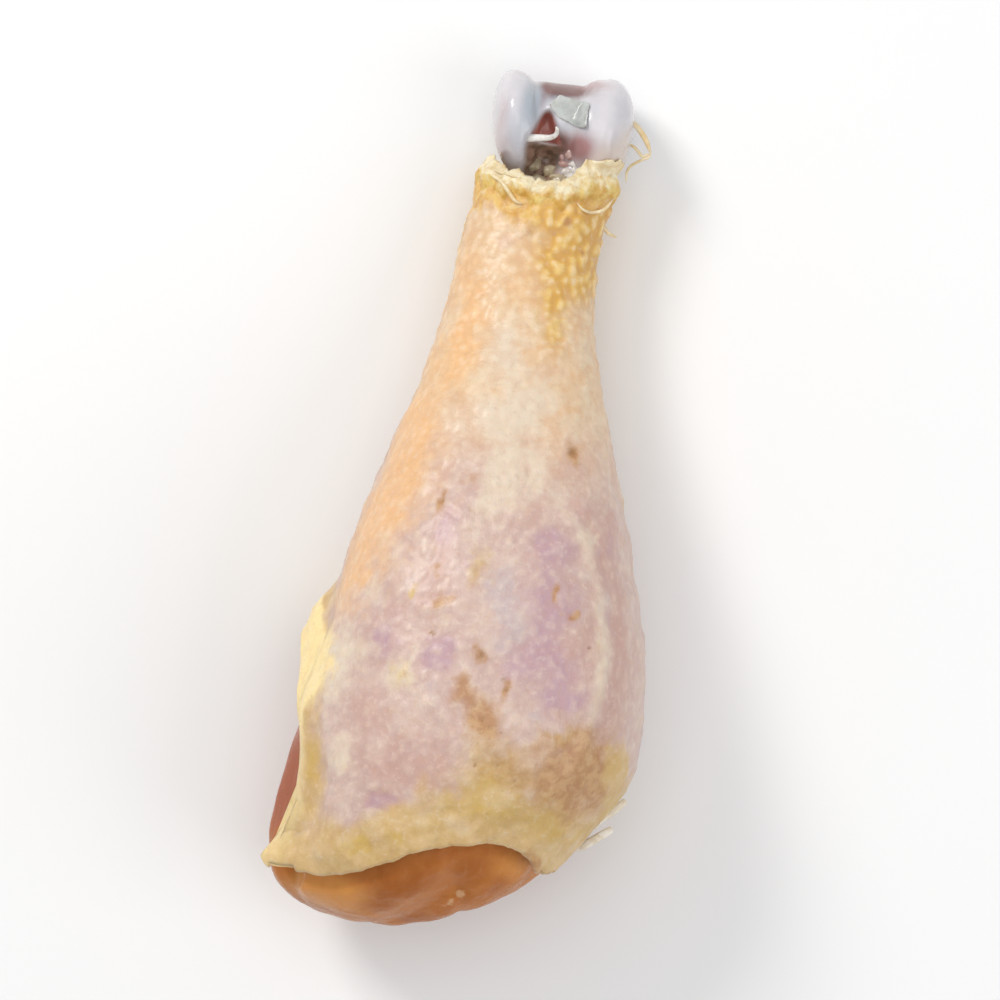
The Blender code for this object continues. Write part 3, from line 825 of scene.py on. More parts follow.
def skinFinish():
    look = Finish("moistSkin")
    shank = look.mask("shank")
    bead = look.mask("bead")
    mottle = look.grain(4.0, 4, 0.6, 0.5)
    patch = look.grain(1.9, 3, 0.6, 0.3)
    speck = look.grain(0.9, 3, 0.6)
    belly = 1 - look.mask("warm")

    def spread(name, most, low, high):
        # a mask with its edge broken up by the mottling
        value = look.mask(name) + (mottle - 0.5) * 0.6 + (patch - 0.5) * 0.45
        return look.between(value, low, high, 0.0, most)

    def tintPatch(name):
        tone, *amount = skinLook["tints"][name]
        look.tint(tone, spread(name, *amount))

    mottles = skinLook["mottles"]
    bellyTone = look.mottled(*mottles["belly"], mottle)
    shankTone = look.mottled(*mottles["shank"], mottle)
    look.tone = look.blend(bellyTone, shankTone, look.mask("warm"))
    # small clouds of blood and of fat under the belly's skin
    blood = look.grain(2.2, 4, 0.68, 0.8)
    look.tint((0.54, 0.34, 0.31), look.between(blood, 0.52, 0.68, 0, 0.35) * belly)
    fatCloud = look.grain(1.6, 4, 0.7, 1.0)
    look.tint((0.78, 0.65, 0.53), look.between(fatCloud, 0.54, 0.70, 0, 0.35) * belly)
    for name in ("peach", "pink", "lilac", "ash", "pale"):
        tintPatch(name)
    fatTone = look.mottled(*mottles["fat"], look.grain(3.2, 3, 0.6))
    look.tint(fatTone, look.broken("fat", mottle, 0.7, 0.1, 0.9, 0.9))
    tintPatch("ochre")
    look.tint((0.94, 0.74, 0.36), look.broken("lip", mottle, 0.4, 0.15, 0.8))
    crustTone = look.mottled(*mottles["crust"], look.grain(2.0, 3, 0.6))
    look.tint(crustTone, look.broken("crust", patch, 0.6, 0.1, 0.9, 0.9))
    lumpy = look.broken("nodule", patch, 1.2, 0.2, 1.3)
    goldTone = look.blend(*mottles["gold"], lumpy)
    look.tint(goldTone, look.broken("gold", patch, 0.45, -0.05, 0.9, 0.95))
    # pale fat shows through the bumps, and the hollows between them are darker
    look.tint((0.86, 0.73, 0.57), look.between(look.mask("knob"), 0.3, 1.0) * 0.20 * belly)
    beadTint = (0.22 + 0.12 * shank) * (1 - 0.75 * look.mask("fat"))
    look.tint((0.88, 0.73, 0.56), look.between(bead, 0.25, 0.9) * beadTint)
    look.tint((0.60, 0.34, 0.20), look.between(bead, 0.3, 0.0) * (0.10 + 0.10 * shank))
    look.tint((0.84, 0.70, 0.57), look.between(speck, 0.54, 0.70, 0, 0.22))
    look.tint((0.47, 0.28, 0.19), look.between(speck, 0.46, 0.32, 0, 0.16))
    tanTone = look.mottled(*mottles["tan"], patch, 0.38, 0.6)
    look.tint(tanTone, spread("tan", 0.85, 0.1, 1.0))
    look.tint((0.34, 0.18, 0.07), look.broken("pit", speck, 0.6, 0.2, 1.0, 0.85))
    freckle = look.between(look.grain(0.55, 2, 0.5), 0.64, 0.75)
    look.tint((0.38, 0.22, 0.09), freckle * (0.08 + 0.15 * look.mask("fat") + 0.5 * look.mask("tan")))
    # fine creases run round the shank and slant over the belly
    across = look.grain(0.7, 3, 0.65, 0.8, look.stretched((0.28, 1.0, 0.8), (0, 0, 0.15)))
    slanted = look.grain(0.7, 3, 0.65, 0.8, look.stretched((1.0, 0.28, 0.8), (0, 0, 0.6)))
    lines = look.blend(slanted, across, look.mask("warm"))
    look.tint((0.52, 0.33, 0.24), look.between(lines, 0.60, 0.78, 0, 0.35) * belly)
    rough = 0.39 + (speck - 0.5) * 0.3 + look.mask("crust") * 0.15 + (patch - 0.5) * 0.16
    normal = look.bump(lines * 0.5 + speck * 0.5, 0.20, 0.8)
    normal = look.bump(look.grain(0.32, 2, 0.6), 0.03, 0.5, normal)
    look.surface(Base_Color=look.tone, Roughness=rough, Normal=normal)
    look.surface(Coat_Weight=0.15, Coat_Roughness=0.18, IOR=1.40, Specular_IOR_Level=0.4)
    look.flesh(0.12, 1.4, (1.0, 0.45, 0.22))
    return look


legAxis, hemPull = buildSkin()
skinTree = treeOf(bpy.data.objects["drumstick_skin"])
print("skin done")


meatLook = {
    "around": 264,
    # rows under the skin, along the bare sides, and over the rounded cap
    "hiddenRows": 14,
    "sideRows": 62,
    "capRows": 92,
    "middle": (-0.0015, 0, 0.0195),  # the centre that the sides and the cap are cast towards
    "ankle": (0.0002, 0, 0.0092),  # the same centre at the ankle
    "sideStart": 82,  # reach where the skin may end, and where the rounded cap begins
    "capStart": 111,
    "tones": ((0.40, 0.125, 0.025), (0.50, 0.18, 0.045)),  # darker and lighter
    # pale orange for the meat's lower edge; where it lies on the left it is a painted glare, and on the
    # right painted light
    "edgeAndGlareTone": (0.73, 0.32, 0.085),
    "redTone": (0.38, 0.13, 0.075),
    # across, reach, half width, half length, weight
    "seam": ((3.8, 121.6, 0.9, 0.7, 1.0), (2.6, 122.8, 0.8, 0.6, 0.7), (1.4, 123.4, 0.7, 0.4, 0.5)),
    # pale patches at the meat's edge: the one on its left is a painted glare and the one on its right is
    # painted light
    "edgeAndGlare": ((-16, 124, 6, 2.8, 1.3), (-9, 126.5, 5, 1.2, 0.3), (11, 116, 4, 3, 0.7)),
}


def meatRays():
    # rows of centre and direction, from the ankle along the leg and then over the cap
    turns = 2 * math.pi * np.arange(meatLook["around"]) / meatLook["around"]
    middle, ankle = Vector(meatLook["middle"]), Vector(meatLook["ankle"])
    sideY = knuckleTop - meatLook["sideStart"] * mm
    capY = knuckleTop - meatLook["capStart"] * mm
    hidden = np.linspace(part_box("meat")[1].y - 0.0006, sideY, meatLook["hiddenRows"], endpoint=False)
    rows = []
    for y in [*hidden, *np.linspace(sideY, capY, meatLook["sideRows"], endpoint=False)]:
        centre = ankle.lerp(middle, float(smooth(-0.046, -0.012, -y)))
        centre.y = y
        rows.append([(centre, outwardAt(turn)) for turn in turns])
    middle.y = capY
    for k in range(meatLook["capRows"] + 1):
        lean = math.pi / 2 * k / meatLook["capRows"]
        out, down = math.cos(lean), -math.sin(lean)
        leaning = [Vector((math.cos(turn) * out, down, math.sin(turn) * out)) for turn in turns]
        rows.append([(middle, outward) for outward in leaning])
    return rows


def buildMeat():
    tree = castingForm(mergedCopy("meat"), levels=1)
    rows = meatRays()
    points = np.zeros((meatLook["around"], len(rows), 3))
    # from the cap to the ankle, so that a ray that misses takes its neighbour's place
    for j in reversed(range(len(rows))):
        for i, (centre, outward) in enumerate(rows[j]):
            hit = castAt(tree, centre, outward)
            points[i, j] = hit if hit else points[i, j + 1]
    points[:, -1] = points[:, -1].mean(0)
    normals = facingOut(gridNormals(points), 10)
    normals[:, -1] = (0, -1, 0)
    x, reach, z = placesOf(points)
    bare = smooth(84, 90, reach)
    onTop = smooth(12, 18, z)
    fibre = ridges(turned(points, 8), 1.5, 2, (1.0, 0.10, 1.0), 3.0)
    fibreWide = lumps(points, 3.5, 3, (1.0, 0.16, 1.0), 5.0)
    bulge = lumps(points, 9, 2, shift=12.0)
    seamX = 3.4 + 0.25 * (reach - 121) + 0.5 * lumps(points, 2.5, 2, shift=2.0)
    height = 0.5 * bulge + (0.14 + 0.12 * (1 - onTop)) * fibreWide - (0.03 + 0.09 * (1 - onTop)) * fibre
    height = height - 0.35 * bell(x, seamX, 1.2) * smooth(113, 118, reach) * onTop
    strip = smooth(17, 22, -x) * smooth(98, 104, reach) * (1 - smooth(116, 121, reach))
    covered = smooth(20, 25, z) * (1 - smooth(-17, -12, x)) * smooth(92, 100, reach)
    height = height * bare * (1 - covered) + 0.5 * strip - 0.5 * covered
    masks = {
        "seam": spot(x, reach, meatLook["seam"]) * onTop,
        "red": smooth(16.0, 24.0, 2.5 * bulge - x) * (1 - smooth(108, 122, reach + 3 * fibreWide)),
        "side": (1 - onTop) * bare,
        # partly painted light: glare on the left and a lighter right side
        "edge": spot(x, reach, meatLook["edgeAndGlare"]),
    }
    points = points + normals * (height * mm)[..., None]
    points[..., 0] += hemPull(reach) * smooth(16, 22, -x) * smooth(17, 23, points[..., 2] / mm) * mm
    points[:, -1] = points[:, -1].mean(0)
    points[..., 2] = np.maximum(points[..., 2], 0.3 * mm)
    mesh = ringGrid(meatLook["around"], len(rows) - 1, False)
    layOn(mesh, points)
    bmesh.ops.holes_fill(mesh, edges=[edge for edge in mesh.edges if edge.is_boundary])
    bmesh.ops.recalc_face_normals(mesh, faces=mesh.faces)
    addPiece("drumstick_meat", mesh, meatFinish(), masks, ["meat"])


def meatFinish():
    look = Finish("wetMeat")
    streak = look.grain(1.4, 3, 0.5, 0.3, look.stretched((1.0, 0.2, 1.0), (0, 0, -0.3)))
    cloud = look.grain(6, 3, 0.5, 0.5)
    side = look.mask("side")
    look.tone = look.mottled(*meatLook["tones"], cloud, 0.3, 0.7)
    look.tint((0.54, 0.21, 0.065), look.between(streak, 0.54, 0.8, 0, 0.25))
    # the edge patches, partly painted glare and painted light, turn pale orange
    look.tint(meatLook["edgeAndGlareTone"], look.broken("edge", cloud, 0.4, 0.1, 0.9, 0.85))
    look.tint(meatLook["redTone"], look.between(look.mask("red"), 0.1, 0.8))
    threads = look.grain(1.6, 4, 0.7, 0.8, look.stretched((1.0, 0.16, 1.0), (0, 0, 0.2)))
    look.tint((0.31, 0.09, 0.045), look.between(threads, 0.48, 0.32) * (0.1 + 0.5 * side))
    look.tint((0.68, 0.40, 0.24), look.between(threads, 0.53, 0.72) * (0.1 + 0.6 * side))
    look.tint((0.70, 0.44, 0.24), look.broken("seam", look.grain(0.9, 3, 0.6), 1.4, 0.35, 0.9, 0.7))
    rough = 0.27 + (look.grain(2.0, 3) - 0.5) * 0.2
    normal = look.bump(streak, 0.06, 0.4)
    normal = look.bump(look.grain(0.6, 3, 0.6), 0.03, 0.35, normal)
    look.surface(Base_Color=look.tone, Roughness=rough, Normal=normal)
    look.surface(Coat_Weight=0.06, Coat_Roughness=0.12, IOR=1.36, Specular_IOR_Level=0.14)
    look.flesh(0.2, 2.5, (1.0, 0.3, 0.1))
    return look


buildMeat()
print("meat done")


boneLook = {
    "voxel": 0.34,  # mm
    "smoothing": 8,  # passes
    # across, reach and height of the centre, radius, width, turn in degrees, rounding
    "wheels": (
        (5.0, 8.3, 8.0, 7.8, 6.0, -3, 2.6),
        (-6.3, 8.75, 7.9, 7.6, 4.6, 14, 2.1),
        (-0.7, 8.2, 7.3, 6.2, 9.0, 3, 1.0),
    ),
    # across, reach and height of the centre, half width, half length, half height, turn in degrees
    "domes": (
        (5.9, 8.3, 8.0, 4.5, 8.1, 8.0, -3),
        (-6.7, 8.75, 7.9, 3.5, 7.9, 7.8, 14),
    ),
    # mm carved away by the two pits, the groove, and the slope that runs into the lower pit
    "depths": (4.4, 3.6, 0.5, 1.3),
    "slope": ((2.6, 13.4, 2.4, 3.0, 1.0),),
    "pearl": ((0.60, 0.58, 0.61), (0.70, 0.68, 0.70)),  # darker and lighter tones of the cartilage
    # tones of the lower pit: partly its tissue's brown and partly painted shade
    "pitShadeTones": ((0.22, 0.14, 0.09), (0.42, 0.27, 0.20)),
    "boneTone": (0.58, 0.42, 0.29),
    # coloured patches on the joint: across, reach, half width, half length, weight
    "patches": {
        # blush is a pink stain, but its spots along the tops of the saddle and of the left condyle are
        # painted shade
        "blushAndShade": ((3.0, 11.1, 2.0, 1.8, 1.15), (3.6, 12.4, 2.6, 2.2, 0.25), (-8.8, 8.5, 0.9, 3, 0.4),
                  (2.6, 1.6, 3.0, 1.1, 0.7), (-3.4, 5, 0.5, 3, 0.3), (-5.8, 1.2, 2.4, 0.8, 0.5),
                  (-8.4, 13, 2, 2.4, 0.35)),
        "blue": ((-4.8, 5.2, 1.9, 4.2, 1.1), (-1.2, 4.0, 2.4, 1.4, 0.8), (3.4, 8.8, 1.0, 1.4, 0.5),
                 (-6.5, 11.5, 2, 4, 0.5), (0.4, 8.6, 1.6, 1.2, 0.6)),
        "shadow": ((0.4, 11.6, 1.8, 1.8, 0.8), (0.2, 10.2, 1.4, 1.2, 0.4), (-0.3, 2.6, 3.2, 1.4, 2.0),
                   (-2.6, 3.6, 1.2, 1.4, 0.5), (-8.6, 14, 2, 2, 0.4)),
        "warm": ((7.2, 12.2, 3.0, 3.0, 1.0), (9.4, 9, 1.2, 3, 0.6)),
    },
}


def laid(mesh, x, reach, z, turn, shaped):
    # a form at its place on the leg, turned about Z
    lie = Matrix.Rotation(math.radians(turn), 4, "Z") @ shaped
    bmesh.ops.transform(mesh, matrix=Matrix.Translation(placed(x, reach, z)) @ lie, verts=mesh.verts)
    return mesh


def roundWheel(x, reach, z, radius, width, turn, rounding):
    mesh = bmesh.new()
    bmesh.ops.create_cone(
        mesh, cap_ends=True, segments=40, radius1=radius * mm, radius2=radius * mm, depth=width * mm)
    rims = [edge for edge in mesh.edges if len({round(vert.co.z, 6) for vert in edge.verts}) == 1]
    bmesh.ops.bevel(mesh, geom=rims, offset=rounding * mm, segments=5, profile=0.5,
                    affect="EDGES", material=-1)
    return laid(mesh, x, reach, z, turn, Matrix.Rotation(math.pi / 2, 4, "Y"))


def dome(x, reach, z, halfX, halfReach, halfZ, turn):
    mesh = bmesh.new()
    bmesh.ops.create_icosphere(mesh, subdivisions=5, radius=mm)
    return laid(mesh, x, reach, z, turn, Matrix.Diagonal((halfX, halfReach, halfZ, 1)))


def slimCore():
    # the CAD bone, with its knuckle drawn in by a fifth, under the rounder one
    core = mergedCopy("bone")
    for vert in core.verts:
        x, reach = vert.co.x / mm, (knuckleTop - vert.co.y) / mm
        wheel = min(boneLook["wheels"], key=lambda wheel: abs(wheel[0] - x))
        middle = placed(*wheel[:3])
        vert.co = vert.co.lerp(middle, 0.2 * (1 - float(smooth(13, 17, reach))))
    return core


def fused(meshes, name, voxel, smoothing):
    # meshes run together into one soft form; the voxel is in mm
    return evaluated(joined(meshes), name, [
        ("REMESH", {"mode": "VOXEL", "voxel_size": voxel * mm}),
        ("SMOOTH", {"factor": 0.5, "iterations": smoothing}),
    ])


def kneeHollow(x, reach, high):
    # the joint's hollow: a small three-cornered pit, and a wider one below it running under the skin
    left = -2.7 - 0.42 * (reach - 6.4)
    right = -2.4 + 0.55 * (reach - 6.4)
    upperPit = smooth(left - 0.4, left + 0.6, x) * (1 - smooth(right - 0.4, right + 0.7, x))
    upperPit = upperPit * smooth(6.2, 7.4, reach) * (1 - smooth(10.2, 11.4, reach)) * high
    lowerLeft = -5.0 + 0.05 * (reach - 11)
    lowerPit = smooth(lowerLeft - 0.5, lowerLeft + 0.9, x) * (1 - smooth(-1.6, 2.6, x))
    return upperPit, lowerPit * smooth(10.0, 12.4, reach) * high


def buildBone():
    forms = [slimCore()]
    forms += [roundWheel(*wheel) for wheel in boneLook["wheels"]]
    forms += [dome(*place) for place in boneLook["domes"]]
    mesh = fused(forms, "boneForm", boneLook["voxel"], boneLook["smoothing"])
    mesh.normal_update()
    points = np.array([vert.co for vert in mesh.verts])
    normals = np.array([vert.normal for vert in mesh.verts])
    x, reach, z = placesOf(points)
    joint = 1 - smooth(16, 20, reach)
    high = smooth(8.5, 11.5, z)
    upperPit, lowerPit = kneeHollow(x, reach, high)
    inPit = np.maximum(upperPit, lowerPit)
    groove = bell(x, -3.2, 0.6) * smooth(0.5, 1.6, reach) * (1 - smooth(5.5, 7.5, reach)) * high
    slope = spot(x, reach, boneLook["slope"]) * high
    carved = zip(boneLook["depths"], (upperPit, lowerPit, groove, slope))
    carve = sum(depth * zone for depth, zone in carved)
    height = 0.16 * joint + 0.12 * lumps(points, 5, 2, shift=3.0) * joint
    height += (0.04 + 0.12 * inPit) * lumps(points, 1.6, 3, shift=4.0) * joint
    points = points + normals * (height * mm)[:, None]
    points[:, 2] -= carve * mm
    points[:, 2] = np.maximum(points[:, 2], 0.05 * mm)
    cell = mesh.verts.layers.int.new("cell")
    for i, (vert, place) in enumerate(zip(mesh.verts, points.tolist())):
        vert.co = place
        vert[cell] = i
    bmesh.ops.smooth_vert(
        mesh, verts=mesh.verts, factor=0.35, use_axis_x=True, use_axis_y=True, use_axis_z=True)
    # the two pits' masks also carry painted shade, over their tissue's own colour
    masks = {"hollow": lowerPit, "deep": upperPit, "cartilage": joint}
    aloft = smooth(4, 10, z)
    for key, places in boneLook["patches"].items():
        masks[key] = spot(x, reach, places) * (high if key == "blue" else aloft)
    return addPiece("drumstick_bone", mesh, boneFinish(), masks, ["bone"])


def boneFinish():
    look = Finish("pearlyCartilage")
    cloud = look.grain(5, 3, 0.5, 0.3)
    fleck = look.grain(1.3, 3, 0.6)
    pearl = look.mottled(*boneLook["pearl"], cloud, 0.3, 0.7)
    pearl = look.blend(pearl, (0.40, 0.45, 0.50), look.broken("blue", cloud, 0.4, 0.1, 1.0, 0.85))
    look.tone = look.blend(boneLook["boneTone"], pearl, look.mask("cartilage"))
    look.tint((0.66, 0.56, 0.49), look.broken("warm", cloud, 0.5, 0.1, 1.0, 0.9))
    look.tint((0.17, 0.065, 0.05), look.broken("shadow", fleck, 0.3, 0.0, 1.0, 0.9))
    # pink blush, with painted shade along the tops of the saddle and the left condyle
    blushAndShade = look.mask("blushAndShade") + (cloud - 0.5) * 0.5 + (fleck - 0.5) * 0.2
    look.tint((0.41, 0.19, 0.185), look.between(blushAndShade, -0.1, 1.2, 0, 0.95))
    # painted shade: the lower pit is darkened to brown and the small upper pit to red, partly their
    # tissue's tone and partly painted shade
    pitShadeMix = look.mottled(*boneLook["pitShadeTones"], fleck, 0.4, 0.6)
    look.tint(pitShadeMix, look.broken("hollow", fleck, 0.4, 0.1, 0.9))
    look.tint((0.52, 0.20, 0.155), look.broken("deep", fleck, 0.2, 0.1, 0.7))
    rough = 0.25 + (look.grain(2.2, 3) - 0.5) * 0.14
    normal = look.bump(look.grain(1.1, 3, 0.5), 0.05, 0.4)
    look.surface(Base_Color=look.tone, Roughness=rough, Normal=normal)
    look.surface(Coat_Weight=0.4, Coat_Roughness=0.14, IOR=1.45)
    look.flesh(0.25, 1.5, (0.9, 0.8, 0.9))
    return look


boneTree = treeOf(buildBone())
print("bone done")


padLook = {
    "centre": (0.9, 6.2),  # across and reach
    # direction in degrees, anticlockwise from the right, and distance of the outline
    "outline": ((-40, 3.3), (-50, 2.9), (-72, 2.0), (-95, 1.6), (-130, 1.7), (-160, 2.3), (-188, 3.3),
                (-196, 3.2), (-212, 2.9), (-226, 3.0), (-240, 2.3), (-270, 1.7), (-300, 1.9), (-326, 2.8),
                (-336, 2.8), (-350, 2.4), (-380, 2.6)),
    "thickness": 0.42,
    "tones": ((0.39, 0.41, 0.385), (0.53, 0.545, 0.52)),  # darker and lighter
    "bridge": 13.5,  # height at which it spans the groove
    "corner": (3.2, 8.0, 2.6, 0.35),  # the lifted corner: across, reach, how far round it, how high
}


def buildPad():
    # the torn cartilage tab, lying over the groove with its lower right corner lifted
    mesh = bmesh.new()
    bmesh.ops.create_icosphere(mesh, subdivisions=5, radius=1)
    directions, widths = zip(*sorted(((turn % 360, width) for turn, width in padLook["outline"])))
    atX, atReach = padLook["centre"]
    cornerX, cornerReach, far, lifted = padLook["corner"]
    for vert in mesh.verts:
        level = vert.co.z
        ring = math.hypot(vert.co.x, vert.co.y)
        degrees = math.degrees(math.atan2(vert.co.y, vert.co.x)) % 360
        width = np.interp(degrees, directions, widths, period=360)
        spread = math.sin(math.pi / 2 * ring) ** 0.9 * width
        x = (atX + spread * math.cos(math.radians(degrees))) * mm
        y = knuckleTop - (atReach - spread * math.sin(math.radians(degrees))) * mm
        flat = max(heightAt([boneTree], x, y), padLook["bridge"] * mm)
        corner = max(0.0, 1 - math.hypot(x / mm - cornerX, (knuckleTop - y) / mm - cornerReach) / far)
        bumpy = noise.noise(Vector((x, y, 0)) / (1.2 * mm)) * 0.14
        thick = padLook["thickness"] * (0.75 + 0.5 * bumpy)
        vert.co = (x, y, flat + (0.08 + thick * 0.5 + level * thick * 0.62 + corner * lifted
                                 + bumpy * (0.5 + 0.5 * level)) * mm)
    bmesh.ops.recalc_face_normals(mesh, faces=mesh.faces)
    look = scrapFinish("tornCartilage", *padLook["tones"])
    addPiece("torn_cartilage", mesh, look, nodes=["cartilage_pad"])


def scrapFinish(name, dark, light, wet=0.4):
    # gristle, tendon and membrane: mottled, finely streaked with brown, and wet by its coat
    look = Finish(name)
    cloud = look.grain(1.6, 4, 0.6, 0.3)
    streak = look.grain(0.6, 3, 0.6, 0.3, look.stretched((0.35, 1.0, 1.0)))
    look.tone = look.mottled(dark, light, cloud, 0.3, 0.7)
    look.tint((0.42, 0.33, 0.20), look.between(streak, 0.62, 0.8, 0, 0.35))
    normal = look.bump(streak * 0.6 + cloud * 0.4, 0.06, 0.5)
    look.surface(Base_Color=look.tone, Roughness=0.34 + (cloud - 0.5) * 0.2, Normal=normal)
    look.surface(Coat_Weight=wet, Coat_Roughness=0.15)
    look.flesh(0.2, 1, (1.0, 0.7, 0.5))
    return look


tendonLook = {
    # across, reach and height
    "route": ((-5.4, 11.3, 13.2), (-4.2, 11.0, 13.9), (-2.6, 10.75, 14.2), (-1.4, 10.5, 14.6),
              (-0.75, 10.0, 15.2), (-0.70, 9.3, 15.7), (-0.95, 8.9, 15.9)),
    "halfWidths": (0.55, 0.60, 0.52, 0.42, 0.36, 0.28, 0.12),
    "tones": ((0.62, 0.58, 0.52), (0.84, 0.81, 0.76)),  # darker and lighter
}


def buildTendon():
    steps = 40
    route = softRoute([placed(*knot) for knot in tendonLook["route"]], steps)
    knots = np.linspace(0, 1, len(tendonLook["halfWidths"]))
    widths = np.interp(np.linspace(0, 1, steps), knots, tendonLook["halfWidths"]) * mm
    mesh = sweptStrand(route, widths, 14, 0.7, 0.10, 3.0)
    look = scrapFinish("whiteTendon", *tendonLook["tones"], 0.6)
    addPiece("hooked_tendon", mesh, look, nodes=["tendon"])


tissueLook = {
    "voxel": 0.13,  # mm
    "smoothing": 5,  # passes
    # finish, then lumps: across, reach, height over the bone, half sizes, roughness and shift
    "kinds": {
        "pink_tissue": (("pinkTissue", (0.46, 0.26, 0.23), (0.66, 0.45, 0.40)), (
            (0.7, 12.9, 0.2, 0.55, 0.55, 0.5, 0.2, 1.0), (1.4, 13.8, 0.0, 1.1, 0.6, 0.45, 0.25, 8.0),
            (1.9, 12.3, -0.1, 0.9, 0.8, 0.3, 0.3, 9.0))),
        "white_tissue": (("whiteTissue", (0.66, 0.60, 0.54), (0.86, 0.82, 0.78)), (
            (2.5, 13.7, 0.0, 0.8, 0.5, 0.35, 0.4, 2.0), (3.3, 14.5, 0.0, 0.8, 0.5, 0.3, 0.4, 3.0),
            (1.8, 14.9, 0.1, 0.9, 0.6, 0.35, 0.4, 4.0), (2.9, 15.6, 0.0, 1.2, 0.5, 0.4, 0.4, 5.0))),
        "green_tissue": (("greenishTissue", (0.37, 0.30, 0.18), (0.64, 0.55, 0.38)), (
            (-0.6, 15.0, 0.2, 1.2, 0.9, 0.7, 0.35, 6.0), (0.9, 16.2, 0.3, 1.5, 0.8, 0.8, 0.35, 7.0),
            (-2.2, 16.5, 0.3, 1.4, 0.7, 0.8, 0.35, 9.0), (-3.0, 14.6, -0.1, 0.9, 1.2, 0.6, 0.4, 11.0),
            (-4.6, 16.8, 0.1, 1.2, 0.7, 0.7, 0.4, 12.0), (2.8, 16.8, 0.2, 1.3, 0.7, 0.6, 0.3, 15.0),
            (5.2, 16.4, 0.0, 1.8, 0.9, 0.5, 0.3, 17.0))),
    },
}


def softLump(x, reach, over, halfX, halfReach, halfZ, rough, shift):
    # a small rounded lump of soft tissue, lying on the bone
    z = heightAt([boneTree], x * mm, knuckleTop - reach * mm) / mm + over
    mesh = bmesh.new()
    bmesh.ops.create_icosphere(mesh, subdivisions=3, radius=1)
    for vert in mesh.verts:
        grown = 1 + rough * noise.fractal(vert.co * 1.1 + Vector((shift, 0, 0)), 1.0, 2.0, 2)
        vert.co = placed(x + vert.co.x * halfX * grown, reach - vert.co.y * halfReach * grown,
                         z + vert.co.z * halfZ * grown)
    return mesh


def buildJointTissue():
    for name, (tones, places) in tissueLook["kinds"].items():
        meshes = [softLump(*place) for place in places]
        mesh = fused(meshes, name + "Form", tissueLook["voxel"], tissueLook["smoothing"])
        addPiece(name, mesh, scrapFinish(*tones, 0.6))


buildPad()
buildTendon()
buildJointTissue()
print("joint scraps done")


insideCollar = knuckleTop - 22 * mm  # a y at which the skin goes all the way round

frillLook = {
    "around": 320,
    "rows": 14,
    "thickness": 0.16,
    "tuck": 3.6,  # mm that it starts back from the skin's edge
    # how far it climbs past the edge, by angle in degrees
    "climb": ((0, 1.8), (10, 2.6), (20, 3.6), (31, 4.3), (40, 3.5), (50, 2.5), (58, 1.7), (68, 0.9),
              (100, 0.5), (118, 0.7), (140, 1.4), (165, 1.9), (200, 1.0), (270, 0.8), (330, 1.2)),
    "overSkin": 0.1,  # mm that it clears the skin and the bone by
    "overBone": 0.25,
    "clearFrom": -1.8,  # mm past the edge from which it has to clear the skin
    "steepest": 0.25,  # mm that it may drop from one row to the next
    # darker and lighter tones, at the skin and at the tip
    "tones": ((0.66, 0.34, 0.055), (0.84, 0.57, 0.18)),
    "tipTones": ((0.78, 0.57, 0.31), (0.93, 0.78, 0.53)),
}


def frillReach(angles):
    # how far each point of the grid is past the skin's edge, in mm
    climb = np.interp(np.degrees(angles), *zip(*frillLook["climb"]), period=360)
    rim = circleAt(angles, 0.01)
    climb = climb * (0.95 + 0.4 * lumps(rim, 4.0, 2, shift=31.0)) + 0.35 * lumps(rim, 1.0, 3, shift=33.0)
    climb = np.clip(climb, -0.4, 5.0)
    tuck = frillLook["tuck"] + 1.6 * lumps(rim, 2.4, 3, shift=37.0)
    steps = np.arange(frillLook["rows"] + 1) / frillLook["rows"]
    return -tuck[:, None] + (tuck + climb)[:, None] * steps


def buildFrill():
    around, rows = frillLook["around"], frillLook["rows"]
    angles = np.radians(360 * np.arange(around) / around)
    reached = frillReach(angles)
    centres = np.zeros((around, rows + 1, 3))
    radii = np.zeros((around, rows + 1))
    least = np.zeros((around, rows + 1))
    outwards = [outwardAt(angle) for angle in angles]
    for i, outward in enumerate(outwards):
        edge = edgeOf(skinTree, legAxis, outward, insideCollar, knuckleTop)
        for j in range(rows + 1):
            centre = legAxis(edge + reached[i, j] * mm)
            hits = [castAt(tree, centre, outward) for tree in (skinTree, boneTree)]
            onSkin, onBone = [(hit - centre).length if hit else 0.0 for hit in hits]
            clears = reached[i, j] > frillLook["clearFrom"]
            overSkin = onSkin + frillLook["overSkin"] * mm if clears else 0.0
            least[i, j] = max(overSkin, onBone + frillLook["overBone"] * mm)
            lastRadius = radii[i, j - 1] - frillLook["steepest"] * mm if j else 0.0
            radii[i, j] = max(onSkin, onBone, lastRadius)
            centres[i, j] = centre
    out = np.array(outwards)[:, None]
    radii = evened(radii, 2)
    ahead = np.arange(rows + 1)[None] / rows
    folds = lumps(centres + out * radii[..., None], 2.4, 3, (1.0, 0.35, 1.0), shift=35.0)
    lift = -0.30 + 0.62 * smooth(0.0, 0.45, ahead) + 0.1 * ahead
    lift = lift + (0.10 + 0.36 * ahead * (1.15 - 0.6 * ahead)) * folds
    points = centres + out * np.maximum(radii + lift * mm, least)[..., None]
    points[..., 2] = np.maximum(points[..., 2], 0.1 * mm)
    mesh = ringGrid(around, rows, False)
    layOn(mesh, points)
    masks = {"tip": np.broadcast_to(ahead, (around, rows + 1))}
    frill = addPiece("collar_frill", mesh, frillFinish(), masks)
    thicken(frill, frillLook["thickness"], 0)
    return frill


def thicken(piece, thickness, offset):
    wall = piece.modifiers.new("Thickness", "SOLIDIFY")
    wall.thickness = thickness * mm
    wall.offset = offset


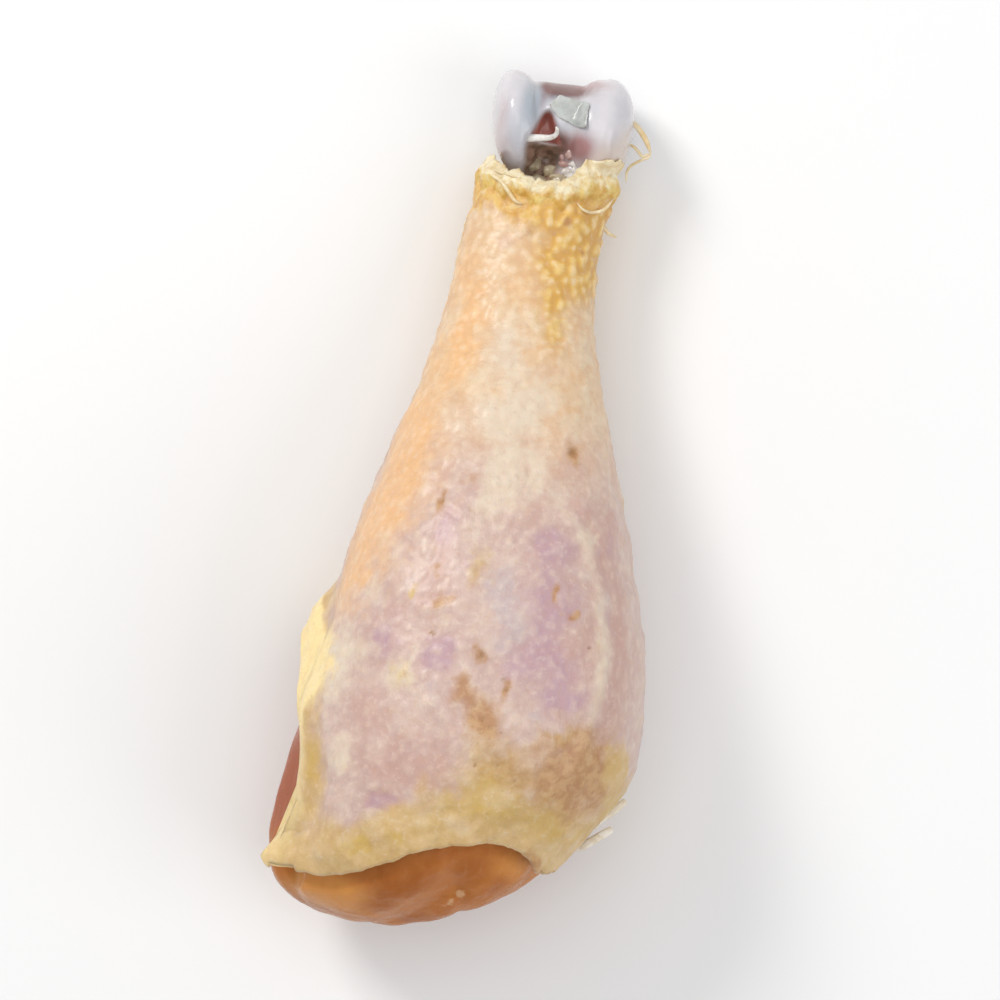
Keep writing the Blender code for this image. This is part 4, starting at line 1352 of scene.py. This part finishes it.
def frillFinish():
    look = Finish("driedMembrane")
    cloud = look.grain(1.3, 4, 0.6, 0.5)
    look.tone = look.mottled(*frillLook["tones"], look.grain(2.0, 3, 0.6))
    pale = look.mottled(*frillLook["tipTones"], cloud)
    look.tint(pale, look.broken("tip", cloud, 0.8, 0.3, 0.75))
    normal = look.bump(look.grain(0.5, 3, 0.6), 0.08, 0.6)
    look.surface(Base_Color=look.tone, Roughness=0.45 + (cloud - 0.5) * 0.2, Normal=normal)
    look.surface(Coat_Weight=0.15, Coat_Roughness=0.25)
    look.flesh(0.25, 1, (1.0, 0.6, 0.3))
    return look


tissueRing = {
    "around": 120,
    "rows": 10,
    "behindEdge": 0.6,  # mm behind the skin's edge, and under its outer face
    "closing": 0.75,  # how much of the way in to the leg's axis it reaches
    "sink": 0.5,  # mm that its middle lies further back
    "thickness": 0.5,
    "tones": ((0.46, 0.31, 0.14), (0.70, 0.55, 0.32)),  # darker and lighter
}


def buildAnkleTissue():
    # soft tissue that closes the skin's open end round the bone, with its inner ring filled
    around, rows = tissueRing["around"], tissueRing["rows"]
    behind = tissueRing["behindEdge"] * mm
    points = np.zeros((around, rows + 1, 3))
    for i, angle in enumerate(2 * math.pi * np.arange(around) / around):
        outward = outwardAt(angle)
        centre = legAxis(edgeOf(skinTree, legAxis, outward, insideCollar, knuckleTop) - behind)
        rim = (castAt(skinTree, centre, outward) - centre).length - behind
        for j in range(rows + 1):
            points[i, j] = centre + outward * rim * (1 - tissueRing["closing"] * j / rows)
            points[i, j, 1] -= tissueRing["sink"] * mm * j / rows
    points[..., 1] += mm * 0.55 * lumps(points, 1.9, 3, shift=41.0)
    mesh = ringGrid(around, rows, False)
    layOn(mesh, points)
    middle = [edge for edge in mesh.edges if edge.is_boundary and (
        edge.verts[0].co - legAxis(edge.verts[0].co.y)).length < 4 * mm]
    bmesh.ops.holes_fill(mesh, edges=middle)
    bmesh.ops.recalc_face_normals(mesh, faces=mesh.faces)
    look = scrapFinish("ankleTissue", *tissueRing["tones"])
    thicken(addPiece("ankle_tissue", mesh, look), tissueRing["thickness"], -1)


strandLook = {
    "steps": 30,  # points along each strand
    # darker and lighter tones
    "tones": ((0.72, 0.53, 0.27), (0.88, 0.74, 0.50)),
    "tagTones": ((0.74, 0.64, 0.48), (0.90, 0.84, 0.74)),
    # on the collar: (across, reach) points and half width
    "onCollar": (
        (((-9.3, 17.3), (-8.6, 17.6), (-7.6, 18.1), (-6.2, 19.5), (-5.0, 20.7), (-3.9, 20.9)), 0.32),
        (((-9.2, 16.4), (-8.0, 16.8), (-6.6, 17.0), (-5.2, 17.3)), 0.20),
        (((3.9, 19.4), (5.0, 20.3), (6.3, 20.4), (7.8, 19.8), (8.6, 18.8), (9.2, 17.5)), 0.26),
    ),
    # free of it, and the slips of fascia at the hem: (across, reach, height) points and half width
    "loose": (
        (((7.2, 21.0, 9.8), (8.3, 21.8, 9.6), (9.3, 22.7, 9.2), (10.7, 23.1, 8.9)), 0.30),
        (((9.2, 5.6, 9.8), (10.8, 6.5, 10.2), (12.4, 8.2, 10.4), (13.4, 9.9, 10.2)), 0.42),
        (((13.5, 9.7, 10.2), (13.3, 10.7, 10.1), (12.3, 11.3, 9.8), (11.0, 12.3, 9.4), (10.5, 13.4, 9.0),
          (10.7, 14.9, 8.6)), 0.22),
        (((9.9, 9.0, 9.4), (11.3, 9.8, 9.6), (12.4, 10.7, 9.8), (13.3, 10.1, 10.0)), 0.26),
    ),
    "tags": (
        (((20.8, 109.4, 21.2), (22.2, 107.8, 20.9), (23.9, 106.2, 20.3), (25.4, 104.4, 19.8)), 0.55),
        (((19.2, 112.8, 21.0), (20.8, 111.6, 20.7), (22.6, 110.2, 19.6), (24.2, 108.9, 18.8)), 0.62),
    ),
}


def tapered(half, drop, power):
    # half widths along a strand, which fall towards its ends
    along = np.linspace(-1, 1, strandLook["steps"])
    return half * mm * (1 - drop * np.abs(along) ** power)


def collarRoute(knots, half):
    # a route that lies on the skin and the frill, bridging their dips and lifting here and there
    route = []
    for x, reach in softRoute(knots, strandLook["steps"]):
        place = placed(x, reach, 0)
        place.z = heightAt([skinTree, frillTree], place.x, place.y)
        route.append(place)
    route = np.array(route)
    route[:, 2] = np.maximum(route[:, 2], np.linspace(route[0, 2], route[-1, 2], len(route)))
    for step in range(3):
        route[1:-1, 2] = (route[:-2, 2] + route[1:-1, 2] * 2 + route[2:, 2]) / 4
    rise = 0.05 + 0.3 * np.sin(np.linspace(0, math.pi, len(route)) * 2.0) ** 2
    route[:, 2] += (half * 0.6 + rise) * mm
    return route


def buildStrands():
    meshes = []
    for k, (knots, half) in enumerate(strandLook["onCollar"]):
        route = collarRoute(knots, half)
        meshes.append(sweptStrand(route, tapered(half, 0.75, 3), 8, 0.6, 0.06, float(k)))
    for k, (knots, half) in enumerate(strandLook["loose"]):
        route = softRoute([placed(*knot) for knot in knots], strandLook["steps"])
        meshes.append(sweptStrand(route, tapered(half, 0.7, 3), 8, 0.5, 0.08, float(k + 10)))
    look = scrapFinish("driedStrand", *strandLook["tones"], 0.2)
    addPiece("collar_strands", joined(meshes), look)


def buildTags():
    meshes = []
    for k, (knots, half) in enumerate(strandLook["tags"]):
        route = softRoute([placed(*knot) for knot in knots], strandLook["steps"])
        halfWidths = tapered(half, 0.35, 4)
        halfWidths[[0, -1]] *= 0.3
        meshes.append(sweptStrand(route, halfWidths, 10, 0.35, 0.10, float(k + 20)))
    look = scrapFinish("whiteFascia", *strandLook["tagTones"], 0.3)
    addPiece("hem_tags", joined(meshes), look)


buildAnkleTissue()
frillTree = treeOf(buildFrill())
buildStrands()
buildTags()
print("collar done")


stageLook = {
    "floor": 1.5,  # half its side, in m
    "paper": ((0.89, 0.885, 0.875), (0.91, 0.905, 0.895)),
    "roll": 9.5,  # degrees that the leg leans to the right
    "distance": 0.775,  # m from the camera down to the point it looks at
    "lens": 190,
    "look": (0.0, 0.0, 0.015),
    "sky": ((0.95, 0.97, 1.0, 1), 0.50),  # colour and strength
    "lights": (  # name, place, size, power, colour
        ("keyLight", (-0.56, 0.46, 0.62), 0.28, 4.2, (1.0, 0.985, 0.96)),
        ("fillLight", (0.68, -0.15, 0.62), 0.6, 2.1, (0.98, 0.98, 1.0)),
        ("topLight", (0.0, 0.1, 1.0), 0.8, 2.2, (1.0, 1.0, 1.0)),
    ),
}


def buildFloor():
    mesh = bmesh.new()
    bmesh.ops.create_grid(mesh, x_segments=1, y_segments=1, size=stageLook["floor"])
    floor = linked("floor", meshData("floor", mesh))
    paper = Finish("paleFloor")
    tone = paper.blend(*stageLook["paper"], paper.grain(60, 2))
    paper.surface(Base_Color=tone, Roughness=0.6)
    floor.data.materials.append(paper.material)


def buildStage():
    camera = linked("camera", bpy.data.cameras.new("camera"))
    camera.data.lens = stageLook["lens"]
    camera.data.sensor_width = 36
    camera.data.clip_start = 0.01
    look = Vector(stageLook["look"])
    camera.location = look + Vector((0, 0, stageLook["distance"]))
    camera.rotation_euler = (0, 0, math.radians(stageLook["roll"]))
    bpy.context.scene.camera = camera

    world = bpy.data.worlds.new("studio")
    world.use_nodes = True
    sky = world.node_tree.nodes["Background"]
    sky.inputs["Color"].default_value, sky.inputs["Strength"].default_value = stageLook["sky"]
    bpy.context.scene.world = world
    for name, place, size, power, colour in stageLook["lights"]:
        lamp = bpy.data.lights.new(name, "AREA")
        lamp.size = size
        lamp.energy = power
        lamp.color = colour
        light = linked(name, lamp)
        light.location = place
        light.rotation_euler = (look - Vector(place)).to_track_quat("-Z", "Y").to_euler()
    bpy.context.scene.view_settings.view_transform = "Standard"


buildFloor()
buildStage()
print("stage done")
